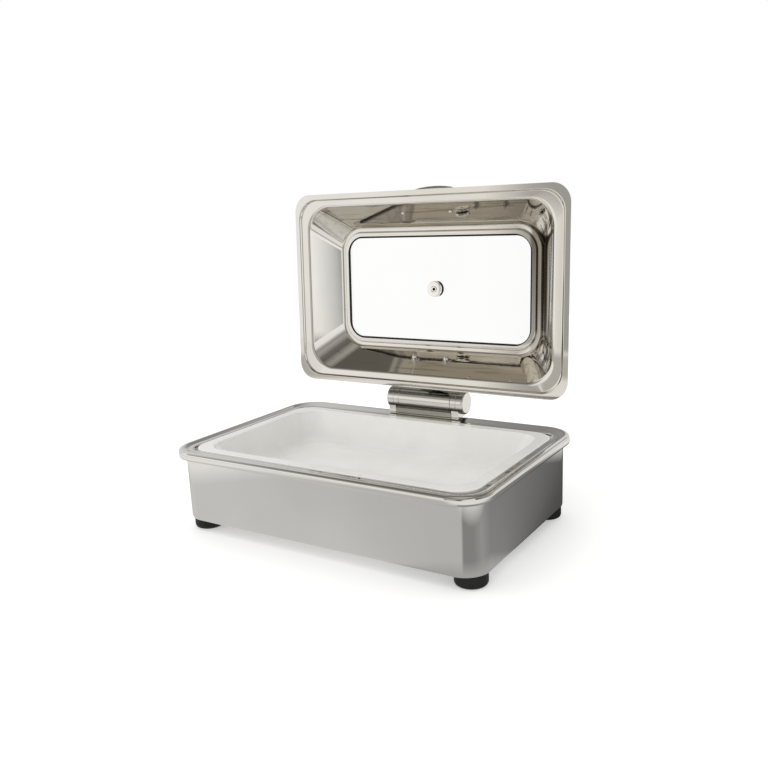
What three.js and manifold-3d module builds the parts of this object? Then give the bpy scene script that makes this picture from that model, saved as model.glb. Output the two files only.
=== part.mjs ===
import * as THREE from 'three';
import { mergeVertices } from 'three/addons/utils/BufferGeometryUtils.js';
import Module from 'manifold-3d';

// Rectangular chafing dish with a glass window lid on a damped hinge.
// Millimetres, +Z up, X along the long side, the front faces -Y.
// The dish is drawn with its lid open on the hinge's stop.

// Food pan, a standard full-size pan whose rim sets the scale
const panLength = 530;
const panWidth = 325;
const panHeight = 62;
const panRimWidth = 19;
const panRimThickness = 5;
const panRimBend = 2.2;
const panRimCorner = 38;
const panWall = 5;
const panWallLean = 21;
const panMouthCorner = 40;
const panFloorCorner = 42;
const panFloorBend = 22;

// Body
const footHeight = 20;
const bodyHeight = 122.5;
const bodyLength = 562;
const bodyWidth = 358;
const bodyCorner = 39.5;
const bodyDraft = 0.7;
const bodyBend = 6;
const bodySetBack = 4;
const bodySheet = 1.2;

// Rim frame, measured outwards from the pan's edge
const frameSheet = 1.2;
const pocketGap = 2;
const ledgeReach = 12;
const stripDrop = 0.6;
const foldOut = 10;
const crownOut = 18.5;
const crownRise = 2.5;
const beadOut = 26;
const beadDrop = 12;
const lipReach = 4.2;
const frontRimExtra = 2.5;
const backRimExtra = 10.5;

// Lid
const lidLength = 558;
const lidWidth = 358.5;
const lidSheet = 1;
const lidCorner = 33;
const lidBackEdge = 173.6;
const lidFlat = 9.5;
const ridgeRise = 3;
const mouthInset = 23.2;
const mouthRise = 3.6;
const sideExtra = 6;
const mouthCorner = 47;
const lidHeight = 57;
const windowRingInset = 64.5;
const recessInset = 72;
const recessDrop = 4.5;
const lipInset = 80.5;
const lipCorner = 34;
const glassThickness = 4;

// Hinge
const hingeBack = 199;
const hingeRise = 27.7;
const hingeRadius = 20.5;
const hingeLength = 160;
const openAngle = 92.5;

// Clearances
const seatGap = 0.3;
const runGap = 0.3;
const cutOver = 2;

// Facet counts
const cornerSteps = 5;
const bendSteps = 2;
const roundSides = 24;
const smallSides = 12;

const rimLevel = footHeight + bodyHeight;
const crownLevel = rimLevel + crownRise;
const lidLevel = crownLevel + seatGap;
const hingeLevel = rimLevel + hingeRise;
const lidMiddle = lidBackEdge - lidWidth / 2;

const wasm = await Module();
wasm.setup();

// Materials
const polishedSteel = new THREE.MeshStandardMaterial({ color: 0xc9c6bf, roughness: 0.12, metalness: 1 });
const brushedSteel = new THREE.MeshStandardMaterial({ color: 0xb4b2ad, roughness: 0.35, metalness: 1 });
const springSteel = new THREE.MeshStandardMaterial({ color: 0x8d8b86, roughness: 0.3, metalness: 1 });
const castAluminium = new THREE.MeshStandardMaterial({ color: 0xa9abad, roughness: 0.45, metalness: 1 });
const porcelain = new THREE.MeshStandardMaterial({ color: 0xe9e8e0, roughness: 0.18, metalness: 0 });
const blackRubber = new THREE.MeshStandardMaterial({ color: 0x1d1d1c, roughness: 0.7, metalness: 0 });
const nylon = new THREE.MeshStandardMaterial({ color: 0xd8d4c8, roughness: 0.5, metalness: 0 });
const clearGlass = new THREE.MeshStandardMaterial({
  color: 0xeef2f0, roughness: 0.03, metalness: 0, transparent: true, opacity: 0.3,
});

// Geometry helpers

function outward(geometry) {
  const { array } = geometry.attributes.position;
  const index = geometry.index.array;
  const at = (corner) => new THREE.Vector3().fromArray(array, index[corner] * 3);
  let volume = 0;
  for (let corner = 0; corner < index.length; corner += 3) {
    volume += at(corner).dot(at(corner + 1).cross(at(corner + 2)));
  }
  if (volume < 0) geometry.index.array.reverse();
  return geometry;
}

function meshFrom(vertices, faces) {
  const geometry = new THREE.BufferGeometry();
  const numbers = vertices.flatMap((vertex) => vertex.toArray());
  geometry.setAttribute('position', new THREE.Float32BufferAttribute(numbers, 3));
  geometry.setIndex(faces.flat());
  return outward(geometry);
}

// One closed ring of points round a rectangle with rounded corners
function rectRing({ halfX, front, back, radius, z }) {
  const ring = [];
  [[1, 1], [-1, 1], [-1, -1], [1, -1]].forEach(([sideX, sideY], quarter) => {
    const middleX = sideX * (halfX - radius);
    const middleY = sideY > 0 ? back - radius : front + radius;
    for (let step = 0; step <= cornerSteps; step += 1) {
      const angle = (quarter + step / cornerSteps) * Math.PI / 2;
      ring.push(new THREE.Vector3(middleX + radius * Math.cos(angle), middleY + radius * Math.sin(angle), z));
    }
  });
  return ring;
}

// Skin through a row of equal rings, capped at both ends or closed on itself
function loft(rings, closed) {
  const count = rings[0].length;
  const vertices = rings.flat();
  const faces = [];
  const last = closed ? rings.length : rings.length - 1;
  for (let row = 0; row < last; row += 1) {
    const next = (row + 1) % rings.length;
    for (let i = 0; i < count; i += 1) {
      const j = (i + 1) % count;
      const [a, b] = [row * count + i, row * count + j];
      const [c, d] = [next * count + i, next * count + j];
      faces.push([a, b, c], [b, d, c]);
    }
  }
  if (!closed) {
    [0, rings.length - 1].forEach((row) => {
      const middle = new THREE.Vector3();
      rings[row].forEach((point) => middle.add(point));
      vertices.push(middle.divideScalar(count));
      for (let i = 0; i < count; i += 1) {
        const pair = [row * count + i, row * count + (i + 1) % count];
        if (row === 0) pair.reverse();
        faces.push([...pair, vertices.length - 1]);
      }
    });
  }
  return meshFrom(vertices, faces);
}

// Bends the corners of a section: each entry is [across, up, corner radius, bend]
function bent(section) {
  const points = section.map(([across, up, radius]) => new THREE.Vector3(across, up, radius));
  const path = [points[0]];
  for (let i = 1; i < points.length - 1; i += 1) {
    const bend = section[i][3];
    const start = points[i].clone().lerp(points[i - 1], bend / points[i].distanceTo(points[i - 1]));
    const end = points[i].clone().lerp(points[i + 1], bend / points[i].distanceTo(points[i + 1]));
    path.push(...new THREE.QuadraticBezierCurve3(start, points[i], end).getPoints(bendSteps));
  }
  path.push(points.at(-1));
  return path;
}

// The second skin of a sheet, beside the path on its left (+1) or right (-1); growth is how the corner
// radius follows a step across
function secondSkin(path, thickness, side, growth) {
  return path.map((point, i) => {
    const before = point.clone().sub(path[Math.max(i - 1, 0)]);
    const after = path[Math.min(i + 1, path.length - 1)].clone().sub(point);
    const first = new THREE.Vector2(before.x, before.y);
    const second = new THREE.Vector2(after.x, after.y);
    if (i === 0) first.copy(second);
    if (i === path.length - 1) second.copy(first);
    const left = (way) => new THREE.Vector2(-way.y, way.x).normalize().multiplyScalar(side);
    const mitre = left(first).add(left(second)).normalize();
    mitre.multiplyScalar(thickness / mitre.dot(left(first)));
    return new THREE.Vector3(point.x + mitre.x, point.y + mitre.y, point.z + growth * mitre.x);
  });
}

const smallShare = (value) => Math.min(Math.max(value, 0), 1);

function bare(geometry) {
  const plain = geometry.clone();
  plain.deleteAttribute('normal');
  plain.deleteAttribute('uv');
  const merged = mergeVertices(plain);
  const index = [];
  for (let i = 0; i < merged.index.count; i += 3) {
    const face = [0, 1, 2].map((corner) => merged.index.getX(i + corner));
    if (new Set(face).size === 3) index.push(...face);
  }
  merged.setIndex(index);
  return merged;
}

function solid(geometry) {
  const plain = bare(geometry);
  return new wasm.Manifold(new wasm.Mesh({
    numProp: 3,
    vertProperties: plain.attributes.position.array,
    triVerts: Uint32Array.from(plain.index.array),
  }));
}

function surface(body) {
  const { vertProperties, triVerts } = body.getMesh();
  const geometry = new THREE.BufferGeometry();
  geometry.setAttribute('position', new THREE.BufferAttribute(vertProperties, 3));
  geometry.setIndex(new THREE.BufferAttribute(triVerts, 1));
  return geometry;
}

function cut(geometry, tools) {
  return surface(tools.reduce((body, tool) => body.subtract(solid(tool)), solid(geometry)));
}

function join(pieces) {
  return surface(pieces.slice(1).reduce((body, piece) => body.add(solid(piece)), solid(pieces[0])));
}

// Solid of revolution about +Z from [radius, height] pairs
function turned(profile, sides = roundSides) {
  const points = profile.map(([radius, height]) => new THREE.Vector2(radius, height));
  return bare(new THREE.LatheGeometry(points, sides).rotateX(Math.PI / 2));
}

// Ring or tube about +Z
function tube(inner, outer, low, high, sides = roundSides) {
  return outward(turned([[inner, low], [outer, low], [outer, high], [inner, high], [inner, low]], sides));
}

// Round bar about +Z
function bar(radius, low, high, sides = smallSides) {
  return outward(turned([[0, low], [radius, low], [radius, high], [0, high]], sides));
}

// Hexagon about +Z, across its corners
function hexagon(radius, low, high) {
  return bar(radius, low, high, 6);
}

// Turns a piece drawn about +Z to a direction and moves it to a point
function aim(geometry, direction, point) {
  const turn = new THREE.Quaternion().setFromUnitVectors(new THREE.Vector3(0, 0, 1), direction);
  return geometry.applyQuaternion(turn).translate(point.x, point.y, point.z);
}

// Plate with its outline in the Y-Z plane, from x = -width / 2 to width / 2
function sidePlate(outline, width) {
  const shape = new THREE.Shape(outline.map(([y, z]) => new THREE.Vector2(y, z)));
  const geometry = new THREE.ExtrudeGeometry(shape, { depth: width, bevelEnabled: false, steps: 1 });
  geometry.translate(0, 0, -width / 2);
  return geometry.rotateX(Math.PI / 2).rotateZ(Math.PI / 2);
}

function piece(group, name, geometry, material, place = [0, 0, 0]) {
  const mesh = new THREE.Mesh(geometry, material);
  mesh.name = name;
  mesh.position.set(...place);
  group.add(mesh);
  return mesh;
}

const ways = { right: new THREE.Vector3(1, 0, 0), left: new THREE.Vector3(-1, 0, 0) };
const sides = [['left', -1], ['right', 1]];

// Food pan

function foodPan() {
  const wallOut = panRimWidth - panWall;
  const floorIn = panRimWidth + panWallLean;
  const floorOut = floorIn - panWall / 2;
  const flat = floorIn + panFloorBend;
  const section = [
    [flat, -panHeight, panFloorCorner],
    [floorOut, -panHeight, panFloorCorner, panFloorBend - panWall],
    [wallOut, -panRimThickness, panMouthCorner, panRimBend],
    [0, -panRimThickness, panRimCorner, panRimBend],
    [0, 0, panRimCorner, panRimBend],
    [panRimWidth, 0, panMouthCorner, panRimBend],
    [floorIn, panWall - panHeight, panFloorCorner, panFloorBend - panWall],
    [flat, panWall - panHeight, panFloorCorner],
  ];
  return loft(bent(section).map(({ x: inset, y: z, z: radius }) => rectRing({
    halfX: panLength / 2 - inset, front: inset - panWidth / 2, back: panWidth / 2 - inset, radius, z,
  })), false);
}

// Outer body, drawn from one sheet: floor, walls, a cove under the rim and a flange inside the bead
const coveRadius = 5;
const flangeReach = 6.3;
const flangeExtra = 6;
const flangeCorner = 51;
const flangeLevel = bodyHeight - beadDrop + frameSheet + seatGap;
const floorFlat = 25;

function bodyRings(path) {
  return path.map(({ x: out, y: z, z: radius }) => {
    const extra = flangeExtra * smallShare((out - coveRadius) / (flangeReach - coveRadius));
    const halfY = bodyWidth / 2 + out + extra;
    return rectRing({
      halfX: bodyLength / 2 + out, front: bodySetBack - halfY, back: bodySetBack + halfY, radius, z,
    });
  });
}

function bodyPath() {
  return bent([
    [-bodyDraft - floorFlat, 0, bodyCorner - bodyDraft - floorFlat],
    [-bodyDraft, 0, bodyCorner - bodyDraft, bodyBend],
    [0, flangeLevel, bodyCorner, coveRadius],
    [flangeReach, flangeLevel, flangeCorner],
  ]);
}

function baseShell() {
  const outer = bodyPath();
  const inner = secondSkin(outer, bodySheet, 1, 1).reverse();
  return loft(bodyRings([...outer, ...inner]), false);
}

// The body's outside as a solid block, grown a little, which shapes what fits round it
function bodyBlock(gap) {
  const outer = bodyPath();
  const grown = secondSkin(outer, gap, -1, 1);
  return loft(bodyRings(grown), false);
}

// Rim frame: ledge under the pan's rim, step, flat strip, rising band and rolled bead
const ledgeCorner = 20;
const pocketCorner = 27;
const foldCorner = 37;
const beadCorner = 54;
const stepBend = 1.8;
const foldBend = 2.5;
const crownBend = 4.6;
const beadBend = 3.8;
const crownPeak = 0.7;
const shoulderRise = 0.4;

function framePath() {
  const ledge = -panRimThickness - seatGap;
  return bent([
    [pocketGap - ledgeReach, ledge, ledgeCorner],
    [pocketGap, ledge, pocketCorner, stepBend],
    [pocketGap, -stripDrop, pocketCorner, stepBend],
    [foldOut, -stripDrop, foldCorner, foldBend],
    [crownOut, crownRise + crownPeak, beadCorner - beadOut + crownOut, crownBend],
    [beadOut, shoulderRise, beadCorner, crownBend],
    [beadOut, -beadDrop, beadCorner, beadBend],
    [beadOut - lipReach, -beadDrop, beadCorner - lipReach],
  ]);
}

function rimFrame() {
  const top = framePath();
  const under = secondSkin(top, frameSheet, -1, 1).reverse();
  const rings = [...top, ...under].map(({ x: out, y: z, z: radius }) => {
    const share = smallShare((out - foldOut) / (crownOut - foldOut));
    const halfY = panWidth / 2 + out;
    return rectRing({
      halfX: panLength / 2 + out,
      front: -halfY - frontRimExtra * share,
      back: halfY + backRimExtra * share,
      radius,
      z,
    });
  });
  const holes = sides.map(([, sign]) => bar(screwHole, -beadDrop, crownRise + cutOver)
    .translate(sign * screwOut, screwBack, 0));
  return cut(loft(rings, true), holes);
}

// Heat spreader and magnetic plate under the floor
const plateLength = 400;
const plateWidth = 240;
const plateCorner = 30;
const spreaderThickness = 3;
const magnetThickness = 1;
const magnetInset = 2;

function flatPlate(inset, low, high) {
  const rings = [low, high].map((z) => rectRing({
    halfX: plateLength / 2 - inset,
    front: bodySetBack + inset - plateWidth / 2,
    back: bodySetBack - inset + plateWidth / 2,
    radius: plateCorner - inset,
    z,
  }));
  return loft(rings, false);
}

// Feet: rubber foot cupped round the body's corner, weld boss and screw
const footRadius = 25;
const footEdge = 6;
const footCup = 3;
const footInset = 4;
const footSetBack = 10;
const bossRadius = 7;
const bossHeight = 5;
const screwRadius = 2.5;
const screwHeadRadius = 4.5;
const screwHeadHeight = 3.5;
const screwPocket = 9;

const footX = bodyLength / 2 - footInset - footRadius;
const footY = bodyWidth / 2 - footSetBack - footRadius;

function foot() {
  const top = footHeight + footCup;
  const edge = [];
  for (let step = 0; step <= bendSteps; step += 1) {
    const angle = step / bendSteps * Math.PI / 2;
    edge.push([footRadius - footEdge * (1 - Math.sin(angle)), footEdge * (1 - Math.cos(angle))]);
  }
  return outward(turned([[0, 0], ...edge, [footRadius, top], [0, top]]));
}

function footHoles() {
  const bossLow = footHeight - bossHeight - seatGap;
  return join([
    bar(screwHeadRadius + 2 * runGap, -cutOver, screwPocket),
    bar(screwRadius + runGap, 0, footHeight),
    bar(bossRadius + runGap, bossLow, footHeight + cutOver),
  ]);
}

function footScrew() {
  const low = screwPocket - seatGap - screwHeadHeight;
  const slotWidth = screwRadius / 2;
  const head = bar(screwHeadRadius, low, low + screwHeadHeight);
  const shank = bar(screwRadius, low + slotWidth, footHeight - seatGap);
  const slot = new THREE.BoxGeometry(screwHeadRadius, slotWidth, 2 * slotWidth).translate(0, 0, low);
  return cut(join([head, shank]), [slot]);
}

function footBoss() {
  return tube(screwRadius + runGap / 2, bossRadius, footHeight - bossHeight, footHeight, smallSides);
}

function addFeet(dish) {
  const block = bodyBlock(seatGap).translate(0, 0, footHeight);
  [['front', -1], ['rear', 1]].forEach(([end, signY]) => sides.forEach(([side, signX]) => {
    const place = [signX * footX, bodySetBack + signY * footY, 0];
    const blank = foot().translate(...place);
    const shaped = cut(blank, [block, footHoles().translate(...place)]);
    shaped.translate(...place.map((value) => -value));
    piece(dish, `foot_${end}_${side}`, shaped, blackRubber, place);
    piece(dish, `foot_boss_${end}_${side}`, footBoss(), brushedSteel, place);
    piece(dish, `foot_screw_${end}_${side}`, footScrew(), springSteel, place);
  }));
}

// Hinge, laid out along X from the middle: barrel, eye, end cap
const eyeWidth = 11;
const capWidth = 14;
const capBend = 3;
const shaftRadius = 6;
const shaftBite = 9;
const barrelWall = 4;
const barrelEdge = 0.8;
const bushWidth = 9;
const cartridgeShare = 0.78;
const eyeOut = hingeLength / 2 - capWidth - runGap;
const eyeIn = eyeOut - eyeWidth;
const barrelHalf = eyeIn - runGap;
const boreRadius = shaftRadius + runGap;
const barrelBore = hingeRadius - barrelWall;

function endCap() {
  const depth = capWidth;
  const boreDepth = shaftBite + runGap;
  const bendShare = 1 - Math.SQRT1_2;
  return outward(turned([
    [0, boreDepth], [boreRadius, boreDepth], [boreRadius, 0],
    [hingeRadius, 0], [hingeRadius, depth - capBend],
    [hingeRadius - capBend * bendShare, depth - capBend * bendShare],
    [hingeRadius - capBend, depth], [0, depth],
  ]));
}

function barrel() {
  const inside = barrelBore;
  return outward(turned([
    [inside, -barrelHalf], [hingeRadius - barrelEdge, -barrelHalf], [hingeRadius, -barrelHalf + barrelEdge],
    [hingeRadius, barrelHalf - barrelEdge], [hingeRadius - barrelEdge, barrelHalf], [inside, barrelHalf],
    [inside, -barrelHalf],
  ]));
}

// Bracket on the rear rim: saddle plate, two posts and the two eyes that hold the shaft
const screwOut = 67;
const screwBack = 183;
const screwHole = screwRadius + 2 * runGap;
const postWidth = 14;
const postFront = 22;
const postBack = 10;
const postFoot = 4;
const saddleFront = 20;
const saddleThickness = 3.6;
const toeRise = 1.4;
const postTopShare = 0.3;
const boltDepth = 8;
const boltSeatDrop = 1.2;

function hingeBracket() {
  const floor = crownRise + seatGap - hingeRise;
  const saddle = sidePlate([
    [-saddleFront, floor], [postFoot, floor], [postFoot, floor + saddleThickness],
    [-saddleFront, floor + saddleThickness],
  ], 2 * (eyeOut + postWidth / 2));
  const postMiddle = eyeOut + seatGap;
  const shoulder = hingeRadius * Math.SQRT1_2;
  const post = sidePlate([
    [-postFront, floor - toeRise], [-saddleFront + postFoot, floor], [postFoot, floor], [postBack, -shoulder],
    [postBack, 0], [-postBack, 0], [-postFront, floor * postTopShare - postFoot],
  ], postWidth);
  const axisMiddle = new THREE.Vector3();
  const capRoom = aim(bar(hingeRadius + runGap, 0, capWidth + cutOver, roundSides), ways.right, axisMiddle);
  const pieces = [saddle];
  sides.forEach(([side, sign]) => {
    const eye = aim(bar(hingeRadius, eyeIn, eyeOut, roundSides), ways[side], axisMiddle);
    const room = capRoom.clone().translate(eyeOut, 0, 0);
    const barrelRoom = aim(bar(hingeRadius + runGap, 0, eyeIn - runGap, roundSides), ways.right, axisMiddle);
    const placed = post.clone().translate(postMiddle, 0, 0);
    const shaped = cut(placed, [room, barrelRoom]);
    pieces.push(sign > 0 ? shaped : mirrored(shaped), eye);
  });
  const shaftHole = aim(bar(boreRadius, -hingeLength, hingeLength, roundSides), ways.right, axisMiddle);
  const screwHoles = sides.map(([, sign]) => bar(screwRadius + runGap, floor - cutOver, floor + boltDepth)
    .translate(sign * screwOut, screwBack - hingeBack, 0));
  return cut(join(pieces), [shaftHole, ...screwHoles]);
}

function mirrored(geometry) {
  const copy = geometry.clone().scale(-1, 1, 1);
  copy.setIndex(Array.from(copy.index.array).reverse());
  return copy;
}

function bracketScrew() {
  const under = -boltSeatDrop;
  const top = crownRise + boltDepth - seatGap;
  const head = hexagon(screwHeadRadius, under - screwHeadHeight, under);
  return join([head, bar(screwRadius, under - runGap, top)]);
}

const coverThickness = 1.5;
const coverRise = 14;
const coverLow = 0.6;
const coverReturn = 5;

function bracketCover() {
  const front = -postFront - coverThickness + seatGap;
  const low = coverLow - hingeRise;
  const high = coverRise - hingeRise;
  const inner = front + coverThickness;
  return sidePlate([
    [front, low], [inner, low], [inner, high - coverThickness], [inner + coverReturn - coverThickness, high],
    [inner + coverReturn, high + coverThickness], [inner, high], [front, high - coverThickness],
  ], 2 * (eyeOut + seatGap - postWidth / 2 - seatGap));
}

// Lid, in its own frame: z counts up from the underside of the flange, y from the lid's middle

function lidRings(path) {
  return path.map(({ x: inset, y: z, z: radius }) => {
    const side = sideExtra * smallShare((inset - lidFlat) / (mouthInset - lidFlat));
    return rectRing({
      halfX: lidLength / 2 - inset - side, front: inset - lidWidth / 2, back: lidWidth / 2 - inset, radius, z,
    });
  });
}

const ridgeRun = 2;
const ridgeBend = 1.2;
const ridgeCorner = 39;
const mouthBend = 3.5;
const windowCorner = 45;
const ringRise = 0.4;
const ringBend = 3.5;
const recessCorner = 39;
const recessRun = 1.5;
const recessBend = 1.6;

function lidFrame() {
  const recess = lidHeight - recessDrop;
  const inside = bent([
    [0, 0, lidCorner],
    [lidFlat, 0, ridgeCorner, ridgeBend],
    [lidFlat + ridgeRun, ridgeRise, ridgeCorner, ridgeBend],
    [mouthInset, mouthRise, mouthCorner, mouthBend],
    [windowRingInset, lidHeight, windowCorner, ringBend],
    [recessInset, lidHeight + ringRise, recessCorner, recessBend],
    [recessInset + recessRun, recess, recessCorner - recessRun, recessBend],
    [lipInset, recess, lipCorner],
  ]);
  const outside = secondSkin(inside, lidSheet, 1, -1).reverse();
  const holeTop = lidSheet + cutOver;
  const holes = sides.flatMap(([, sign]) => [
    wallPiece(bar(armBoltRadius + runGap, -cutOver, holeTop), 1, sign * armBoltOut, armBoltRise),
    wallPiece(bar(handleScrewRadius + runGap, -cutOver, holeTop), -1, sign * handleOut, handleRise),
  ]);
  return cut(loft(lidRings([...inside, ...outside]), true), holes);
}

// A point on the inside of the front (-1) or rear (+1) wall at a height above the flange, and the wall's
// direction outwards
const wallSlope = new THREE.Vector2(windowRingInset - mouthInset, lidHeight - mouthRise).normalize();

function wallPoint(end, x, rise) {
  const inset = mouthInset + (rise - mouthRise) * wallSlope.x / wallSlope.y;
  return new THREE.Vector3(x, end * (lidWidth / 2 - inset), rise);
}

function wallOutward(end) {
  return new THREE.Vector3(0, end * wallSlope.y, wallSlope.x);
}

function wallPiece(geometry, end, x, rise) {
  return aim(geometry, wallOutward(end), wallPoint(end, x, rise));
}

// Window glass, its gasket and the steam vent
const gasketFoot = 2.4;
const gasketWall = 2;
const gasketLip = 2;
const gasketRoom = 0.4;
const gasketStand = 0.2;
const ventHole = 6;
const glassLow = lidHeight - recessDrop + lidSheet + gasketFoot + 2 * seatGap;
const recessWall = recessInset + recessRun + lidSheet;
const gasketOut = recessWall + gasketRoom;

function windowGasket() {
  const low = glassLow - gasketFoot - seatGap;
  const high = glassLow + glassThickness + gasketStand;
  const lip = lipInset + gasketLip;
  const wall = gasketOut + gasketWall;
  const corner = (inset) => recessCorner - recessRun - (inset - recessInset - recessRun);
  const section = [
    [gasketOut, low], [lip, low], [lip, glassLow - seatGap], [wall, glassLow - seatGap], [wall, high],
    [gasketOut, high],
  ];
  return loft(lidRings(section.map(([inset, z]) => new THREE.Vector3(inset, z, corner(inset)))), true);
}

function windowGlass() {
  const inset = gasketOut + gasketWall + seatGap;
  const corner = recessCorner - recessRun - (inset - recessInset - recessRun);
  const levels = [glassLow, glassLow + glassThickness];
  const pane = loft(lidRings(levels.map((z) => new THREE.Vector3(inset, z, corner))), false);
  return cut(pane, [bar(ventHole, glassLow - cutOver, glassLow + glassThickness + cutOver, roundSides)]);
}

const ventDiscRadius = 14.25;
const ventDiscHeight = 5.5;
const ventEdge = 1;
const ventWasher = 1;
const ventWasherRadius = 12;
const ventStem = 5;
const ventBore = 2.75;
const ventCapRadius = 15;
const ventCapHeight = 9;
const ventPort = 1.5;
const ventSteps = 4;

function ventDisc() {
  const high = glassLow - ventWasher - 2 * seatGap;
  const low = high - ventDiscHeight;
  const hole = ventStem + runGap;
  return outward(turned([
    [hole, low + ventEdge], [hole + ventEdge, low], [ventDiscRadius - ventEdge, low],
    [ventDiscRadius, low + ventEdge], [ventDiscRadius, high], [hole, high], [hole, low + ventEdge],
  ]));
}

function ventCap() {
  const seat = glassLow + glassThickness + ventWasher + 2 * seatGap;
  const top = seat + ventCapHeight;
  const low = glassLow - ventWasher - 2 * seatGap - ventDiscHeight + ventEdge;
  const domeHeight = ventCapHeight - ventEdge;
  const dome = [];
  for (let step = 0; step <= ventSteps; step += 1) {
    const angle = step / ventSteps * Math.PI / 2;
    dome.push([ventCapRadius * Math.cos(angle), seat + ventEdge + domeHeight * Math.sin(angle)]);
  }
  dome[ventSteps][0] = 0;
  const blank = outward(turned([
    [0, low], [ventStem, low], [ventStem, seat], [ventCapRadius, seat], ...dome,
  ]));
  const bore = bar(ventBore, low - cutOver, top - ventCapHeight / 2);
  const port = aim(bar(ventPort, -ventCapRadius - cutOver, ventCapRadius + cutOver, 8), ways.right,
    new THREE.Vector3(0, 0, seat + ventPort + ventEdge));
  return cut(blank, [bore, port]);
}

function ventRing(low) {
  return tube(ventStem + runGap, ventWasherRadius, low, low + ventWasher);
}

// Grab handle on the front wall: two legs square to the wall and a bowed grip
const handleOut = 49;
const handleRise = 25;
const handleRadius = 6.5;
const handleReach = 8.5;
const handleCrown = 8;
const handleCornerReach = 14;
const handleFootRadius = 9.5;
const handleFootHeight = 2.5;
const handleScrewRadius = 2;
const handleScrewHead = 3.8;
const handleScrewDome = 2.4;
const handleScrewBite = 15;
const handleSteps = 28;

function handle() {
  const seat = lidSheet + seatGap;
  const gripOut = lidWidth / 2 + handleReach - handleRadius + wallPoint(-1, 0, handleRise).y;
  const far = gripOut / wallSlope.y;
  const along = (x, off) => wallPoint(-1, x, handleRise).addScaledVector(wallOutward(-1), off);
  const bow = (x) => far - handleCrown * (x / handleOut) ** 2;
  const half = [
    along(handleOut, seat),
    along(handleOut, far / 3),
    along(handleOut, far - handleCrown - handleCornerReach),
    along(handleOut - handleCornerReach / 4, far - handleCrown - handleCornerReach / 4),
    along(handleOut - handleCornerReach, bow(handleOut - handleCornerReach)),
    along(handleOut / 3, bow(handleOut / 3)),
  ];
  const other = half.map((point) => new THREE.Vector3(-point.x, point.y, point.z)).reverse();
  const path = new THREE.CatmullRomCurve3([...half, ...other], false, 'centripetal');
  const round = new THREE.Shape();
  for (let i = 0; i < smallSides; i += 1) {
    const angle = i / smallSides * 2 * Math.PI;
    const [x, y] = [handleRadius * Math.cos(angle), handleRadius * Math.sin(angle)];
    if (i === 0) round.moveTo(x, y);
    else round.lineTo(x, y);
  }
  round.closePath();
  const sweep = { steps: handleSteps, extrudePath: path, bevelEnabled: false };
  const grab = new THREE.ExtrudeGeometry(round, sweep);
  const low = lidSheet + seatGap;
  const feet = sides.map(([, sign]) => wallPiece(
    outward(turned([
      [0, low], [handleFootRadius, low], [handleFootRadius, low + handleFootHeight / 2],
      [handleRadius, low + handleFootHeight], [0, low + handleFootHeight],
    ], smallSides)), -1, sign * handleOut, handleRise));
  const bores = sides.map(([, sign]) => wallPiece(
    bar(handleScrewRadius + runGap, -cutOver, handleScrewBite), -1, sign * handleOut, handleRise));
  return cut(join([grab, ...feet]), bores);
}

function domeHead(radius, height) {
  return [[0, -height], [radius * Math.SQRT1_2, -height * Math.SQRT1_2], [radius, 0]];
}

function handleScrew() {
  return outward(turned([
    ...domeHead(handleScrewHead, handleScrewDome).map(([radius, z]) => [radius, z - seatGap]),
    [handleScrewRadius, -seatGap],
    [handleScrewRadius, handleScrewBite - runGap],
    [0, handleScrewBite - runGap],
  ], smallSides));
}

// Arm between the barrel and the lid's rear wall, in the hinge's frame with the lid closed
const armBoltOut = 33.5;
const armBoltRise = 37;
const armBoltRadius = 2.9;
const armPlateWidth = 92;
const armPlateLow = 24;
const armPlateHigh = 50;
const armPlateThickness = 4;
const armRibOut = 20;
const armRibWidth = 6;
const armRibHigh = 43;
const armSaddleWidth = 60;
const armSaddleThickness = 3.5;
const saddleFromDegrees = 95;
const saddleSpanDegrees = 67;
const saddleSteps = 5;
const armWeb = 4;
const armBoltHead = 5.5;
const armBoltHeadHeight = 3.5;
const armWasherRadius = 9;
const armWasherThickness = 1.2;
const acornRadius = 5.6;
const acornHex = 4;
const acornDome = 4.2;
const acornDomeShare = 0.85;
const acornSteps = 3;

const lidInHinge = new THREE.Vector3(0, lidMiddle - hingeBack, lidLevel - hingeLevel);

// A point beside the rear wall, [y, z] from the hinge axis
function besideWall(rise, off) {
  const point = wallPoint(1, 0, rise).addScaledVector(wallOutward(1), off).add(lidInHinge);
  return [point.y, point.z];
}

function onBarrel(degrees, radius) {
  const angle = THREE.MathUtils.degToRad(degrees);
  return [radius * Math.cos(angle), radius * Math.sin(angle)];
}

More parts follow.
